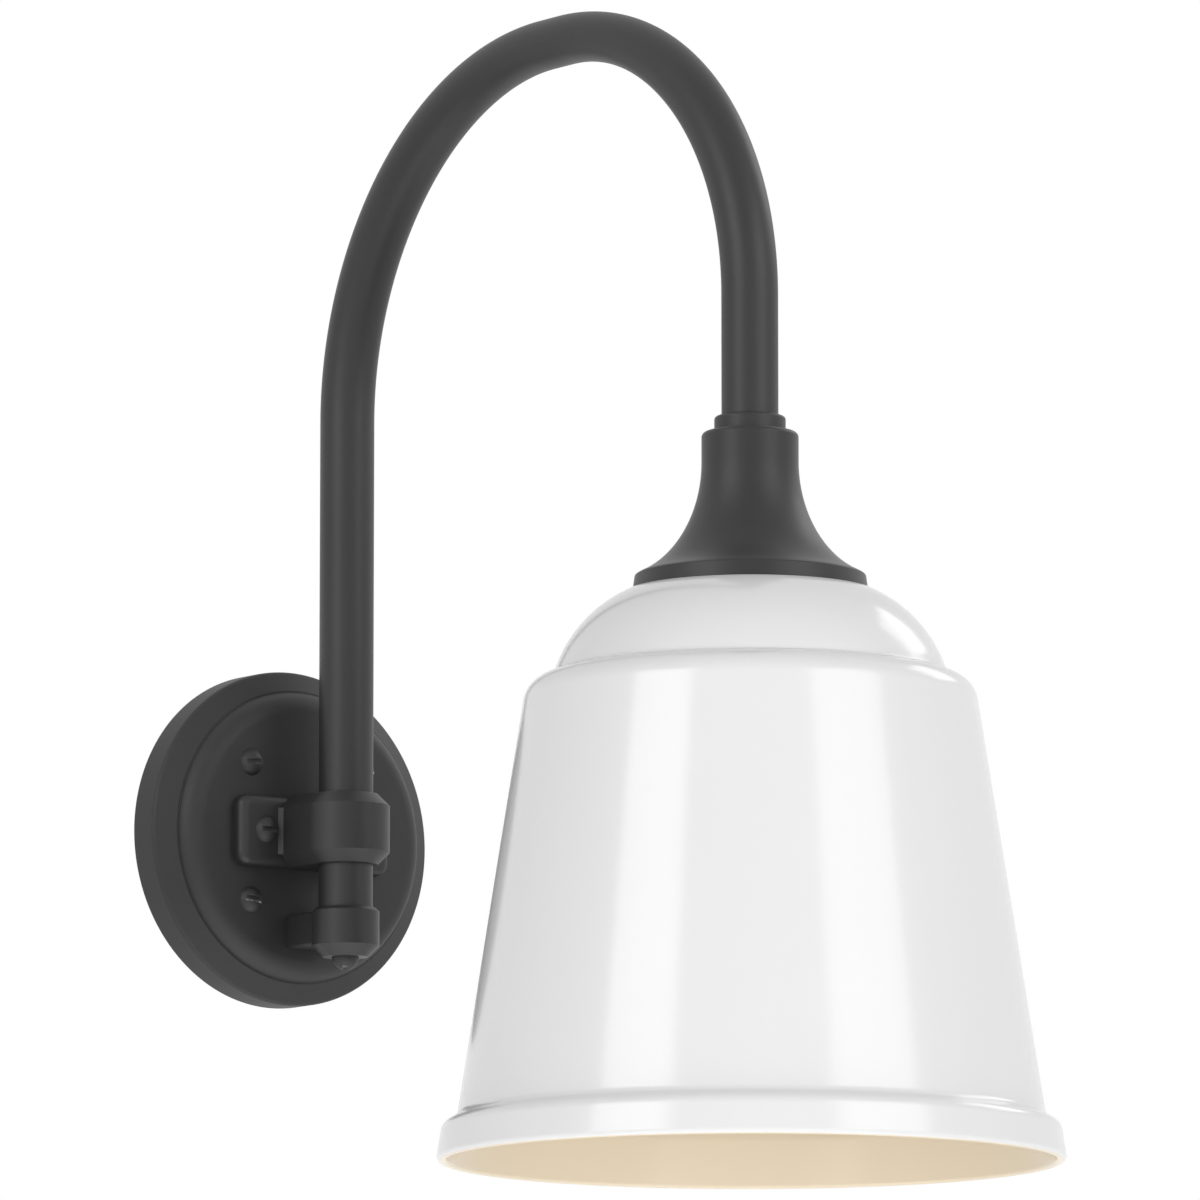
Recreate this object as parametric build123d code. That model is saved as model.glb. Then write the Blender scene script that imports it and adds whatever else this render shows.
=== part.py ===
from build123d import *
import os
from math import asin, cos, degrees, radians, sin, sqrt, tan

# A barn light on a swing bracket: a round wall plate carries a saddle and a foot,
# a gooseneck tube turns in them, and a trumpet fitter on its end holds the shade.
# The origin is the centre of the wall plate's back, on the wall.
# X is to the right, -Y points out from the wall and +Z is up. Sizes are millimetres.

# Clearances
turn_gap = 0.08          # radial, between the tube or pivot and what it turns in
slip_gap = 0.05          # radial, between pieces that slide together and are then locked
thread_gap = 0.1         # radial, between a screw and its tapped hole
hole_gap = 0.3           # radial, between a screw and a plain hole
lead_gap = 0.3           # between lead ends that meet at the swivel

# Gooseneck tube
tube_od = 20.0
tube_wall = 1.5
pivot_out = 47.0         # from the wall to the axis of the upright leg
reach = 239.6            # from the upright leg to the axis of the shade
arch_top = 272.3         # height of the tube's centre line at its top
arch_run = 11.3          # straight run between the two bends
front_bend = 107.0
swing = 60.0             # the arm swings this far to each side
window_height = 8.0      # slot in the upright leg where the leads come in

# Wall plate
box_screw_pitch = 88.9   # screws of the junction box that the plate covers
plate_cover = 17.45      # from those screws to the plate's edge
plate_side = 12.3        # depth of the plain side
plate_edge = 2.2         # rounding of the side's front edge
bevel_width = 7.5
bevel_rise = 4.5
ledge_width = 0.8        # flat ledge at the foot of the shoulder
plate_depth = 23.0       # from the wall to the flat face
shoulder_rise = 0.6      # upright step under the rounded shoulder
shoulder_ease = 2.4      # how much the shoulder's radius is more than its fall
plate_wall = 2.4
plate_screw_pitch = 50.8
boss_radius = 4.6
boss_length = 9.0

# Mounting plate, on the junction box
strap_thickness = 2.0
strap_margin = 7.6       # from the plate screws to the edge of the square
strap_corner = 7.0
strap_gap = 2.85         # between the strap's arms and the inside of the wall plate
strap_arm_width = 30.0
strap_window_radius = 17.0
box_slot_length = 12.0
box_slot_width = 5.0
collar_radius = 4.2
collar_height = 3.0

# Saddle round the upright leg
saddle_height = 26.0
saddle_ear = 5.8         # thickness of the ears
saddle_round = 3.4
saddle_corner_land = 1.0  # what the rounding leaves of an ear's corner radius
barrel_wall = 6.02
barrel_chamfer = 4.4
barrel_rib = 1.4         # small bevel where an ear meets the barrel
ear_screw_gap = 0.2      # between that bevel and the head of the ear's screw
ear_end = 11.2           # from the ear's screw to its end

# Foot under the upright leg
cup_wall = 2.32
cup_top = -29.0
cup_height = 18.0
tube_seat = 10.0         # depth of the tube in the cup
cup_top_chamfer = 1.3
cup_bottom_chamfer = 4.1
foot_width = 18.8
foot_edge = 1.0          # rounding along the foot's arm
foot_drop = 1.0          # of the arm's top below the cup's
foot_rise = 4.8          # of the arm's underside above the cup's
foot_screw_pitch = 9.6
foot_screw_drop = 8.0    # below the top of the cup
foot_thread_wall = 3.12  # between the foot's threads and the cup's bore
washer_thickness = 1.0
washer_rim_gap = 0.5
plug_length = 15.0
pivot_thread = 13.0      # length of the pivot screw inside the plug

# Screws
screw_radius = 2.4
head_radius = 4.9
head_height = 3.3
slot_width = 1.9
slot_depth = 1.4
small_screw_radius = 2.1
small_head_radius = 3.7
small_head_height = 2.4
pivot_head_radius = 5.0
pivot_head_height = 4.8
tip_radius = 1.5         # shank of the smallest screws
tip_head_radius = 2.6
tip_head_height = 1.6
slot_turns = (4.0, -7.0, 12.0, 2.0)
pivot_slot_turn = -52.6

# Trumpet fitter and its collar
neck_sleeve = 6.95       # wall of the fitter round the tube
neck_top = 116.4
neck_corner = 1.8
neck_wall = 3.0
neck_straight = 10.4     # plain length above the flare
sleeve_depth = 15.4      # of the tube in the fitter
flare_width = 33.0       # half axes of the flare's ellipse
flare_drop = 42.0
flare_sweep = 70.5       # degrees of the ellipse that the flare follows
lip_overhang = 2.22
lip_height = 6.6
lip_round = 0.8
flange_width = 8.2
web_thickness = 4.0
collar_wall = 2.5
collar_rise = 5.6
collar_round = 1.2

# Shade
shade_wall = 1.2
shade_flange = 2.0       # how far the top reaches in past the fitter's flange
top_land = 2.4           # flat of the top that shows round the fitter
dome_radius = 46.0       # curvature of the dome
dome_width = 25.1
dome_drop = 29.05
step_ledge = 2.5         # breadth and fall of the ledge outside the dome
step_drop = 0.8
step_width = 8.0         # breadth and height of the rounded shoulder
step_height = 8.4
cone_flare = 22.7        # growth of the radius down the cone
cone_length = 144.4
rim_ledge = 0.9          # breadth and fall of the ledge above the rim
rim_ledge_drop = 0.3
rim_step_width = 4.6     # breadth and height of the rim's shoulder
rim_step_height = 4.0
rim_flare = 1.6
rim_height = 12.15
bead_radius = 1.8
bend_round = 1.4         # inside radius of the pressed corners
bend_room = 0.9          # most of a ledge that such a corner may take
ring_thickness = 2.5
ring_inset = 1.8         # of the clamp ring's rim inside the fitter's lip
ring_screw_edge = 3.1    # from the ring's rim to its screws
ring_screw_count = 3
ring_screw_thread = 4.0

# Lamp socket and what hangs it
nipple_radius = 4.85
nipple_room = 0.4        # round the leads in the nipple
nipple_in_tube = 10.0
insert_length = 14.0
lock_washer_radius = 7.4
lock_washer_thickness = 1.2
locknut_width = 14.3
locknut_height = 4.4
cap_hub_radius = 7.6
cap_hub_height = 5.5
cap_wall = 0.8
cap_dome_height = 12.6
cap_skirt = 12.0
socket_wall = 3.55
socket_drop = 6.0        # of the porcelain below the top of the cap's skirt
socket_length = 42.0
socket_lip = 1.5         # porcelain below the screw shell
shell_bore = 13.3        # medium screw base
shell_wall = 0.5
shell_length = 26.0
contact_radius = 4.0
contact_thickness = 1.4
rivet_radius = 1.5
rivet_end = 2.0
terminal_out = 8.0
terminal_radius = 2.6
terminal_height = 2.2

# Leads and the terminal block
lead_radius = 1.3
lead_spread = 1.6        # half the pitch of the two leads
lead_bend = 4.0
lead_split = 8.0         # height where the arm's leads end
bushing_room = 0.6       # round the leads in the bushing
bushing_wall = 1.5
bushing_flange_width = 2.0
bushing_flange_thickness = 1.5
bushing_tube_gap = 5.6   # between the bushing's end and the tube
block_width = 22.0
block_depth = 13.0
block_height = 12.0
block_edge = 2.0         # of the strap between its window and the block
block_pole_out = 4.6
block_hole = 1.8
block_hole_depth = 4.0
block_screw_length = 5.0

# Sizes and places worked out from those above
tube_radius = tube_od / 2
tube_bore = tube_radius - tube_wall
turn_bore = tube_radius + turn_gap
rear_bend = reach - front_bend - arch_run
pivot_y = -pivot_out
shade_y = -pivot_out - reach
plate_radius = box_screw_pitch / 2 + plate_cover
plate_inside = plate_radius - plate_wall
bevel_radius = plate_radius - bevel_width
bevel_depth = plate_side + bevel_rise
face_y = -plate_depth
inner_depth = plate_depth - plate_wall
screw_out = plate_screw_pitch / 2
strap_square = plate_screw_pitch + 2 * strap_margin
arm_corner_out = plate_inside - strap_gap - strap_corner
arm_corner_side = strap_arm_width / 2 - strap_corner
strap_arm_length = 2 * (sqrt(arm_corner_out**2 - arm_corner_side**2) + strap_corner)
ear_depth = plate_depth + saddle_ear
barrel_radius = turn_bore + barrel_wall
saddle_corner = saddle_round + saddle_corner_land
saddle_screw_out = barrel_radius + barrel_rib + ear_screw_gap + head_radius
saddle_length = 2 * (saddle_screw_out + ear_end)
cup_radius = turn_bore + cup_wall
cup_bottom = cup_top - cup_height
tube_foot = cup_top - tube_seat
foot_screw_height = cup_top - foot_screw_drop
foot_thread = pivot_out - turn_bore - foot_thread_wall - plate_depth
neck_radius = tube_radius + slip_gap + neck_sleeve
flare_top = neck_top - neck_straight
tube_tip = neck_top - sleeve_depth
lip_top = flare_top - flare_drop * sin(radians(flare_sweep))
flare_end = neck_radius + flare_width * (1 - cos(radians(flare_sweep)))
lip_radius = flare_end + lip_overhang
lip_bottom = lip_top - lip_height
flange_bore = lip_radius - flange_width
collar_screw_rise = (collar_rise - collar_round) / 2
shade_hole = flange_bore - shade_flange
dome_start = lip_radius + top_land
dome_end = dome_start + dome_width
dome_foot = lip_bottom - dome_drop
cone_top_radius = dome_end + step_ledge + step_width
cone_top = dome_foot - step_drop - step_height
cone_foot_radius = cone_top_radius + cone_flare
cone_foot = cone_top - cone_length
rim_top_radius = cone_foot_radius + rim_ledge + rim_step_width
rim_shoulder = cone_foot - rim_ledge_drop - rim_step_height
rim_radius = rim_top_radius + rim_flare
rim_bottom = rim_shoulder - rim_height
ring_top = lip_bottom - shade_wall
ring_bottom = ring_top - ring_thickness
ring_rim = lip_radius - ring_inset
ring_screw_circle = ring_rim - ring_screw_edge
web_bottom = tube_tip - web_thickness
locknut_top = web_bottom - lock_washer_thickness
cap_top = locknut_top - locknut_height
cap_skirt_top = cap_top - cap_wall - cap_dome_height
socket_radius = shell_bore + shell_wall + slip_gap + socket_wall
socket_top = cap_skirt_top - socket_drop
socket_foot = socket_top - socket_length
shell_foot = socket_foot + socket_lip
shell_top = shell_foot + shell_length
contact_top = shell_top + contact_thickness
lead_reach = lead_spread + lead_radius
nipple_bore = lead_reach + nipple_room
bushing_bore = lead_reach + bushing_room
bushing_radius = bushing_bore + bushing_wall
bushing_flange = bushing_radius + bushing_flange_width
bushing_length = pivot_out - tube_radius - bushing_tube_gap - inner_depth
block_foot = strap_window_radius + block_edge
wall_plane = Plane(origin=(0, 0, 0), x_dir=(1, 0, 0), z_dir=(0, 0, -1))
shade_axis = Axis((0, shade_y, 0), (0, 0, 1))


def upright_plane(y):
    """Plane of radius and height through an upright axis at y."""
    return Plane(origin=(0, y, 0), x_dir=(1, 0, 0), z_dir=(0, -1, 0))


def outward_plane(x, depth, z):
    """Plane that faces out from the wall, at a depth from it."""
    return Plane(origin=(x, -depth, z), x_dir=(1, 0, 0), z_dir=(0, -1, 0))


def turned(lines, plane, axis):
    """Solid of revolution of a closed outline of radius and height."""
    return revolve(plane * make_face(lines), axis)


def ring(outer, inner, low, high, y):
    """Plain upright ring between two heights."""
    lines = Polyline((inner, low), (outer, low), (outer, high), (inner, high), close=True)
    return turned(lines.edges(), upright_plane(y), Axis((0, y, 0), (0, 0, 1)))


def drill(radius, x, z, near, far):
    """Cylinder along the wall's normal, between two depths."""
    return extrude(outward_plane(x, near, z) * Circle(radius), far - near)


def screw(radius, length, head, height):
    """Slotted round-head screw, its seat on z = 0 and its shank towards -z."""
    cap_radius = (head**2 + height**2) / (2 * height)
    seat = Line((0, 0), (head, 0))
    cap = RadiusArc((head, 0), (0, height), -cap_radius)
    middle = Line((0, height), (0, 0))
    body = revolve(Plane.XZ * make_face([seat, cap, middle]), Axis.Z)
    slot = Pos(0, 0, height) * Box(3 * head, slot_width, 2 * slot_depth)
    shank = Pos(0, 0, -length / 2) * Cylinder(radius, length)
    return body - slot + shank


def wall_plate():
    """Hollow round canopy with a bevelled edge and a rounded shoulder."""
    shoulder_foot = bevel_radius - ledge_width
    fall = plate_depth - bevel_depth - shoulder_rise
    shoulder = fall + shoulder_ease
    flat = shoulder_foot - sqrt(shoulder**2 - shoulder_ease**2)
    outline = Wire([
        Line((0, plate_depth), (flat, plate_depth)),
        RadiusArc((flat, plate_depth), (shoulder_foot, plate_depth - fall), shoulder),
        Line((shoulder_foot, plate_depth - fall), (shoulder_foot, bevel_depth)),
        Line((shoulder_foot, bevel_depth), (bevel_radius, bevel_depth)),
        Line((bevel_radius, bevel_depth), (plate_radius, plate_side)),
        Line((plate_radius, plate_side), (plate_radius, 0)),
    ])
    corner = outline.vertices().sort_by_distance((plate_radius, plate_side))[0]
    outline = outline.fillet_2d(plate_edge, [corner])
    inside_step = shoulder_foot - plate_wall
    hollow = Polyline(
        (plate_radius, 0), (plate_inside, 0), (plate_inside, plate_side - plate_wall / 2),
        (inside_step, bevel_depth - plate_wall / 2), (flat - plate_wall / 2, inner_depth),
        (0, inner_depth), (0, plate_depth))
    shell = turned(outline.edges() + hollow.edges(), wall_plane, Axis.Y)
    for side in (-1, 1):
        x = side * saddle_screw_out
        shell += drill(boss_radius, x, 0, inner_depth - boss_length, inner_depth)
        shell -= drill(screw_radius + thread_gap, x, 0, 0, plate_depth)
        x = side * foot_screw_pitch / 2
        shell -= drill(small_screw_radius + hole_gap, x, foot_screw_height, 0, plate_depth)
        for z in (-screw_out, screw_out):
            shell -= drill(screw_radius + hole_gap, side * screw_out, z, 0, plate_depth)
    return shell - drill(bushing_radius + slip_gap, 0, 0, 0, plate_depth)


def mounting_plate():
    """Steel strap on the junction box, with tapped collars for the plate screws."""
    outline = RectangleRounded(strap_square, strap_square, strap_corner)
    outline += RectangleRounded(strap_arm_length, strap_arm_width, strap_corner)
    outline -= Circle(strap_window_radius)
    for side in (-1, 1):
        slot = SlotOverall(box_slot_length, box_slot_width)
        outline -= Pos(side * box_screw_pitch / 2, 0) * slot
    strap = extrude(outward_plane(0, 0, 0) * outline, strap_thickness)
    deep = strap_thickness + collar_height
    for x in (-screw_out, screw_out):
        for z in (-screw_out, screw_out):
            strap += drill(collar_radius, x, z, strap_thickness, deep)
            strap -= drill(screw_radius + thread_gap, x, z, 0, deep)
    return strap - drill(small_screw_radius + thread_gap, 0, -screw_out, 0, strap_thickness)


def plate_screws():
    """Four slotted screws through the wall plate into the mounting plate."""
    one = screw(screw_radius, plate_depth - strap_thickness / 2, head_radius, head_height)
    places = [(x, z) for x in (-screw_out, screw_out) for z in (screw_out, -screw_out)]
    group = []
    for (x, z), turn in zip(places, slot_turns):
        group.append(outward_plane(x, plate_depth, z) * Rot(0, 0, turn) * one)
    return group


def ground_screw():
    """Earthing screw on the mounting plate."""
    one = screw(small_screw_radius, strap_thickness, small_head_radius, small_head_height)
    return outward_plane(0, strap_thickness, -screw_out) * one


def saddle():
    """Block that the upright leg turns in, with an ear at each side."""
    back = -face_y - pivot_out
    outline = Circle(barrel_radius) + Pos(0, -back / 2) * Rectangle(2 * barrel_radius, -back)
    barrel = extrude(Plane((0, pivot_y, -saddle_height / 2)) * outline, saddle_height)
    ends = barrel.faces().sort_by(Axis.Z)
    rims = (ends[0].edges() + ends[-1].edges()).filter_by(lambda e: e.center().Y < face_y - slip_gap)
    barrel = chamfer(rims, barrel_chamfer)
    ears = RectangleRounded(saddle_length, saddle_height, saddle_corner)
    ears = extrude(outward_plane(0, plate_depth, 0) * ears, saddle_ear)
    ears = fillet(ears.faces().sort_by(Axis.Y)[0].edges(), saddle_round)
    block = barrel + ears
    for side in (-1, 1):
        root = (side * barrel_radius, -ear_depth)
        rib = Polyline(root, (side * (barrel_radius + barrel_rib), -ear_depth),
                       (side * barrel_radius, -ear_depth - barrel_rib), close=True)
        straight = saddle_height - 2 * barrel_chamfer
        block += extrude(make_face(rib.edges()), straight / 2, both=True)
        block -= drill(screw_radius + hole_gap, side * saddle_screw_out, 0, plate_depth, ear_depth)
    block -= Pos(0, pivot_y, 0) * Cylinder(turn_bore, 2 * saddle_height)
    return block - drill(bushing_radius + slip_gap, 0, 0, plate_depth, pivot_out)


def saddle_screws():
    """Two slotted screws through the ears into the wall plate's bosses."""
    length = saddle_ear + plate_wall + boss_length - thread_gap
    one = screw(screw_radius, length, head_radius, head_height)
    return [outward_plane(side * saddle_screw_out, ear_depth, 0) * one for side in (-1, 1)]


def foot_bracket():
    """Arm and cup that carry the lower end of the upright leg."""
    cup = Pos(0, pivot_y, cup_bottom + cup_height / 2) * Cylinder(cup_radius, cup_height)
    cup = chamfer(cup.edges().group_by(Axis.Z)[0], cup_bottom_chamfer)
    cup = chamfer(cup.edges().group_by(Axis.Z)[-1], cup_top_chamfer)
    long = pivot_out - plate_depth
    tall = cup_height - foot_drop - foot_rise
    arm = Pos(0, pivot_y + long / 2, cup_top - foot_drop - tall / 2) * Box(foot_width, long, tall)
    block = cup + fillet(arm.edges().filter_by(Axis.Y), foot_edge)
    floor = tube_foot - washer_thickness
    deep = cup_top - floor
    block -= Pos(0, pivot_y, floor + deep / 2) * Cylinder(turn_bore, deep)
    block -= Pos(0, pivot_y, cup_bottom) * Cylinder(screw_radius + turn_gap, 2 * deep)
    for side in (-1, 1):
        x = side * foot_screw_pitch / 2
        block -= drill(small_screw_radius + thread_gap, x, foot_screw_height,
                       plate_depth, plate_depth + foot_thread)
    return block


def foot_screws():
    """Two screws from inside the wall plate into the foot."""
    one = screw(small_screw_radius, plate_wall + foot_thread - thread_gap,
                small_head_radius, small_head_height)
    group = []
    for side in (-1, 1):
        place = Plane(origin=(side * foot_screw_pitch / 2, -inner_depth, foot_screw_height),
                      x_dir=(1, 0, 0), z_dir=(0, 1, 0))
        group.append(place * one)
    return group


def thrust_washer():
    """Washer between the tube's end and the floor of the cup."""
    return ring(tube_radius - washer_rim_gap, screw_radius + hole_gap,
                tube_foot - washer_thickness, tube_foot, pivot_y)


def wire_bushing():
    """Flanged bushing that leads the wires from the wall plate into the saddle."""
    body = drill(bushing_flange, 0, 0, inner_depth - bushing_flange_thickness, inner_depth)
    body += drill(bushing_radius, 0, 0, inner_depth, inner_depth + bushing_length)
    return body - drill(bushing_bore, 0, 0, 0, pivot_out)


def terminal_block():
    """Two-pole block on the mounting plate, where the leads end."""
    middle = strap_thickness + block_depth / 2
    block = Pos(0, -middle, block_foot + block_height / 2)
    block *= Box(block_width, block_depth, block_height)
    high = block_foot + block_height
    for side in (-1, 1):
        x = side * block_pole_out
        entry = Pos(x, -middle, block_foot) * Cylinder(block_hole, 2 * block_hole_depth)
        exit_hole = Pos(x, -middle, high) * Cylinder(block_hole, 2 * block_hole_depth)
        front = strap_thickness + block_depth
        screw_hole = drill(tip_radius + thread_gap, x, block_foot + block_height / 2,
                           front - block_screw_length, front)
        block -= entry + exit_hole + screw_hole
    return block


def terminal_block_screws():
    """Clamping screws of the terminal block."""
    one = screw(tip_radius, block_screw_length - thread_gap, tip_head_radius, tip_head_height)
    front = strap_thickness + block_depth
    height = block_foot + block_height / 2
    return [outward_plane(side * block_pole_out, front, height) * one for side in (-1, 1)]


def lead(points, radii):
    """Insulated wire along straight runs and round bends."""
    path = FilletPolyline(*points, radius=radii)
    section = Plane(origin=path @ 0, z_dir=path % 0) * Circle(lead_radius)
    return sweep(section, path=path)


def wall_lead(side):
    """Lead from the swivel through the saddle to one pole of the terminal block."""
    y = pivot_y + side * lead_spread
    z = side * lead_spread
    middle = -strap_thickness - block_depth / 2
    turn_y = middle - side * lead_spread
    pole = -side * block_pole_out
    points = [(0, y, lead_split), (0, y, z), (0, turn_y, z),
              (pole, middle, block_foot - lead_bend), (pole, middle, block_foot + block_hole_depth / 2)]
    first = lead_bend + (0 if side > 0 else 2 * lead_spread)
    return lead(points, [first, lead_bend, lead_bend])


def arm_lead(side):
    """Lead from the swivel up through the tube to one terminal of the socket."""
    rear_y = pivot_y + side * lead_spread
    front_y = shade_y - side * lead_spread
    high = arch_top + side * lead_spread
    end_y = shade_y - side * terminal_out
    end = socket_top + terminal_height + lead_gap
    nipple_end = cap_top - cap_hub_height
    points = [(0, rear_y, lead_split + lead_gap), (0, rear_y, high), (0, front_y, high),
              (0, front_y, nipple_end), (0, end_y, end + lead_bend), (0, end_y, end)]
    radii = [rear_bend + side * lead_spread, front_bend + side * lead_spread, lead_bend, lead_bend]
    return lead(points, radii)


def arm_tube():
    """Gooseneck: an upright leg, two wide bends and a short front leg."""
    path = FilletPolyline((0, pivot_y, tube_foot), (0, pivot_y, arch_top), (0, shade_y, arch_top),
                          (0, shade_y, tube_tip), radius=[rear_bend, front_bend])
    section = Plane(origin=path @ 0, z_dir=path % 0) * (Circle(tube_radius) - Circle(tube_bore))
    tube = sweep(section, path=path)
    lead_angle = degrees(asin((lead_radius + 2 * lead_gap) / tube_bore))
    angle = 2 * (swing + lead_angle)
    middle = (Align.NONE, Align.NONE, Align.CENTER)
    window = Cylinder(2 * tube_radius, window_height, arc_size=angle, align=middle)
    return tube - Pos(0, pivot_y, 0) * Rot(0, 0, 90 - angle / 2) * window


def tube_plug():
    """Tapped plug in the lower end of the upright leg."""
    return ring(tube_bore - slip_gap, screw_radius + thread_gap,
                tube_foot, tube_foot + plug_length, pivot_y)


def pivot_screw():
    """Round-head screw up through the cup into the plug."""
    length = tube_foot - cup_bottom + pivot_thread
    one = screw(screw_radius, length, pivot_head_radius, pivot_head_height)
    return Pos(0, pivot_y, cup_bottom) * Rot(180, 0, 0) * Rot(0, 0, pivot_slot_turn) * one


def slip_collar():
    """Collar on the front leg that closes the top of the fitter."""
    body = ring(tube_radius + collar_wall, tube_radius + slip_gap,
                neck_top, neck_top + collar_rise, shade_y)
    top = body.edges().filter_by_position(Axis.Z, neck_top + collar_rise, neck_top + collar_rise)
    body = fillet(top.sort_by(SortBy.RADIUS)[-1], collar_round)
    hole = Pos(0, shade_y + tube_radius, neck_top + collar_screw_rise) * Rot(90, 0, 0)
    return body - hole * Cylinder(tip_radius + thread_gap, 3 * collar_wall)


def collar_set_screw():
    """Headless screw in the back of the collar."""
    length = collar_wall - slip_gap - thread_gap
    middle = shade_y + tube_radius + slip_gap + length / 2
    place = Pos(0, middle, neck_top + collar_screw_rise) * Rot(-90, 0, 0)
    slot = Pos(0, 0, length / 2) * Box(3 * tip_radius, slot_width / 2, length / 2)
    return place * (Cylinder(tip_radius, length) - slot)


def flare(extra, start, end):
    """Elliptical flare of the fitter, grown inwards by extra, between two angles."""
    return EllipticalCenterArc((neck_radius + flare_width, flare_top), flare_width + extra,
                               flare_drop + extra, start_angle=start, arc_size=end - start)


def neck_fitter():
    """Trumpet casting over the tube's end, with a web that the socket hangs from."""
    outer = flare(0, 180, 180 + flare_sweep)
    lip_edge = outer @ 1
    inner_centre = neck_radius + flare_width
    bore_cos = (inner_centre - flange_bore) / (flare_width + neck_wall)
    bore_angle = 270 - degrees(asin(bore_cos))
    web_angle = 180 + degrees(asin((flare_top - web_bottom) / (flare_drop + neck_wall)))
    inner = flare(neck_wall, web_angle, bore_angle)
    web_edge = inner @ 0
    bore_edge = inner @ 1
    sleeve = tube_radius + slip_gap
    hole = nipple_radius + thread_gap
    corner = neck_radius - neck_corner
    lines = [
        Line((sleeve, neck_top), (corner, neck_top)),
        RadiusArc((corner, neck_top), (neck_radius, neck_top - neck_corner), neck_corner),
        Line((neck_radius, neck_top - neck_corner), (neck_radius, flare_top)),
        outer,
        Line(lip_edge, (lip_radius - lip_round, lip_top - lip_round)),
        Line((lip_radius - lip_round, lip_top - lip_round), (lip_radius, lip_bottom)),
        Line((lip_radius, lip_bottom), (flange_bore, lip_bottom)),
        Line((flange_bore, lip_bottom), bore_edge),
        inner,
        Line(web_edge, (hole, web_bottom)),
        Line((hole, web_bottom), (hole, tube_tip)),
        Line((hole, tube_tip), (sleeve, tube_tip)),
        Line((sleeve, tube_tip), (sleeve, neck_top)),
    ]
    body = turned(lines, upright_plane(shade_y), shade_axis)
    for place in ring_screw_places():
        hole = Cylinder(tip_radius + thread_gap, 2 * ring_screw_thread)
        body -= Pos(0, 0, lip_bottom) * place * hole
    return body


def ring_screw_places():
    """Places of the clamp screws round the shade's axis, at height 0."""
    return [Pos(0, shade_y, 0) * place
            for place in PolarLocations(ring_screw_circle, ring_screw_count, start_angle=90)]


def shade_outline():
    """Outside of the shade from its top hole to the rim, as one open line."""
    step_start = (cone_top_radius - step_width, dome_foot - step_drop)
    cone_start = (cone_top_radius, cone_top)
    cone_end = (cone_foot_radius, cone_foot)
    rim_start = (rim_top_radius - rim_step_width, cone_foot - rim_ledge_drop)
    wall_start = (rim_top_radius, rim_shoulder)
    wall_end = (rim_radius, rim_bottom + bead_radius)
    up_cone = Vector(*cone_start) - Vector(*cone_end)
    up_wall = Vector(*wall_start) - Vector(*wall_end)
    outline = Wire([
        Line((shade_hole, lip_bottom), (dome_start, lip_bottom)),
        RadiusArc((dome_start, lip_bottom), (dome_end, dome_foot), dome_radius),
        Line((dome_end, dome_foot), step_start),
        TangentArc(cone_start, step_start, tangent=up_cone),
        Line(cone_start, cone_end),
        Line(cone_end, rim_start),
        TangentArc(wall_start, rim_start, tangent=up_wall),
        Line(wall_start, wall_end),
    ])
    ledge = Vector(*rim_start) - Vector(*cone_end)
    bend = radians((-up_cone).get_angle(ledge))
    cove = min(bend_round, bend_room * ledge.length / tan(bend / 2))
    for corner, radius in (((dome_end, dome_foot), bend_round), (cone_end, cove)):
        point = outline.vertices().sort_by_distance(corner)[0]
        outline = outline.fillet_2d(radius, [point])
    return outline


def shade():
    """Spun shade: flat top, dome, stepped shoulder, cone and a rolled rim."""
    outline = shade_outline()
    section = outline.offset_2d(shade_wall, side=Side.RIGHT)
    body = turned(section.edges(), upright_plane(shade_y), shade_axis)
    bead = upright_plane(shade_y) * Pos(rim_radius - bead_radius, rim_bottom + bead_radius)
    body += revolve(bead * Circle(bead_radius), shade_axis)
    for place in ring_screw_places():
        body -= Pos(0, 0, lip_bottom) * place * Cylinder(tip_radius + hole_gap, 4 * shade_wall)
    return body


def shade_clamp_ring():
    """Ring under the shade's top that clamps it to the fitter."""
    body = ring(ring_rim, shade_hole, ring_bottom, ring_top, shade_y)
    for place in ring_screw_places():
        body -= Pos(0, 0, ring_top) * place * Cylinder(tip_radius + hole_gap, 3 * ring_thickness)
    return body


def clamp_screws():
    """Screws through the clamp ring and the shade into the fitter's flange."""
    length = lip_bottom - ring_bottom + ring_screw_thread - thread_gap
    one = Rot(180, 0, 0) * screw(tip_radius, length, tip_head_radius, tip_head_height)
    return [Pos(0, 0, ring_bottom) * place * one for place in ring_screw_places()]


def tube_insert():
    """Tapped insert in the front end of the tube."""
    return ring(tube_bore - slip_gap, nipple_radius + thread_gap,
                tube_tip, tube_tip + insert_length, shade_y)


def nipple():
    """Threaded tube that hangs the socket and carries the leads."""
    return ring(nipple_radius, nipple_bore, cap_top - cap_hub_height,
                tube_tip + nipple_in_tube, shade_y)


def lock_washer():
    """Washer between the fitter's web and the locknut."""
    return ring(lock_washer_radius, nipple_radius + thread_gap, locknut_top, web_bottom, shade_y)


def locknut():
    """Hexagon nut that draws the fitter up against the tube."""
    outline = RegularPolygon(locknut_width / 2, 6, major_radius=False)
    outline -= Circle(nipple_radius + thread_gap)
    return extrude(Plane((0, shade_y, cap_top)) * outline, locknut_height)


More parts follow.
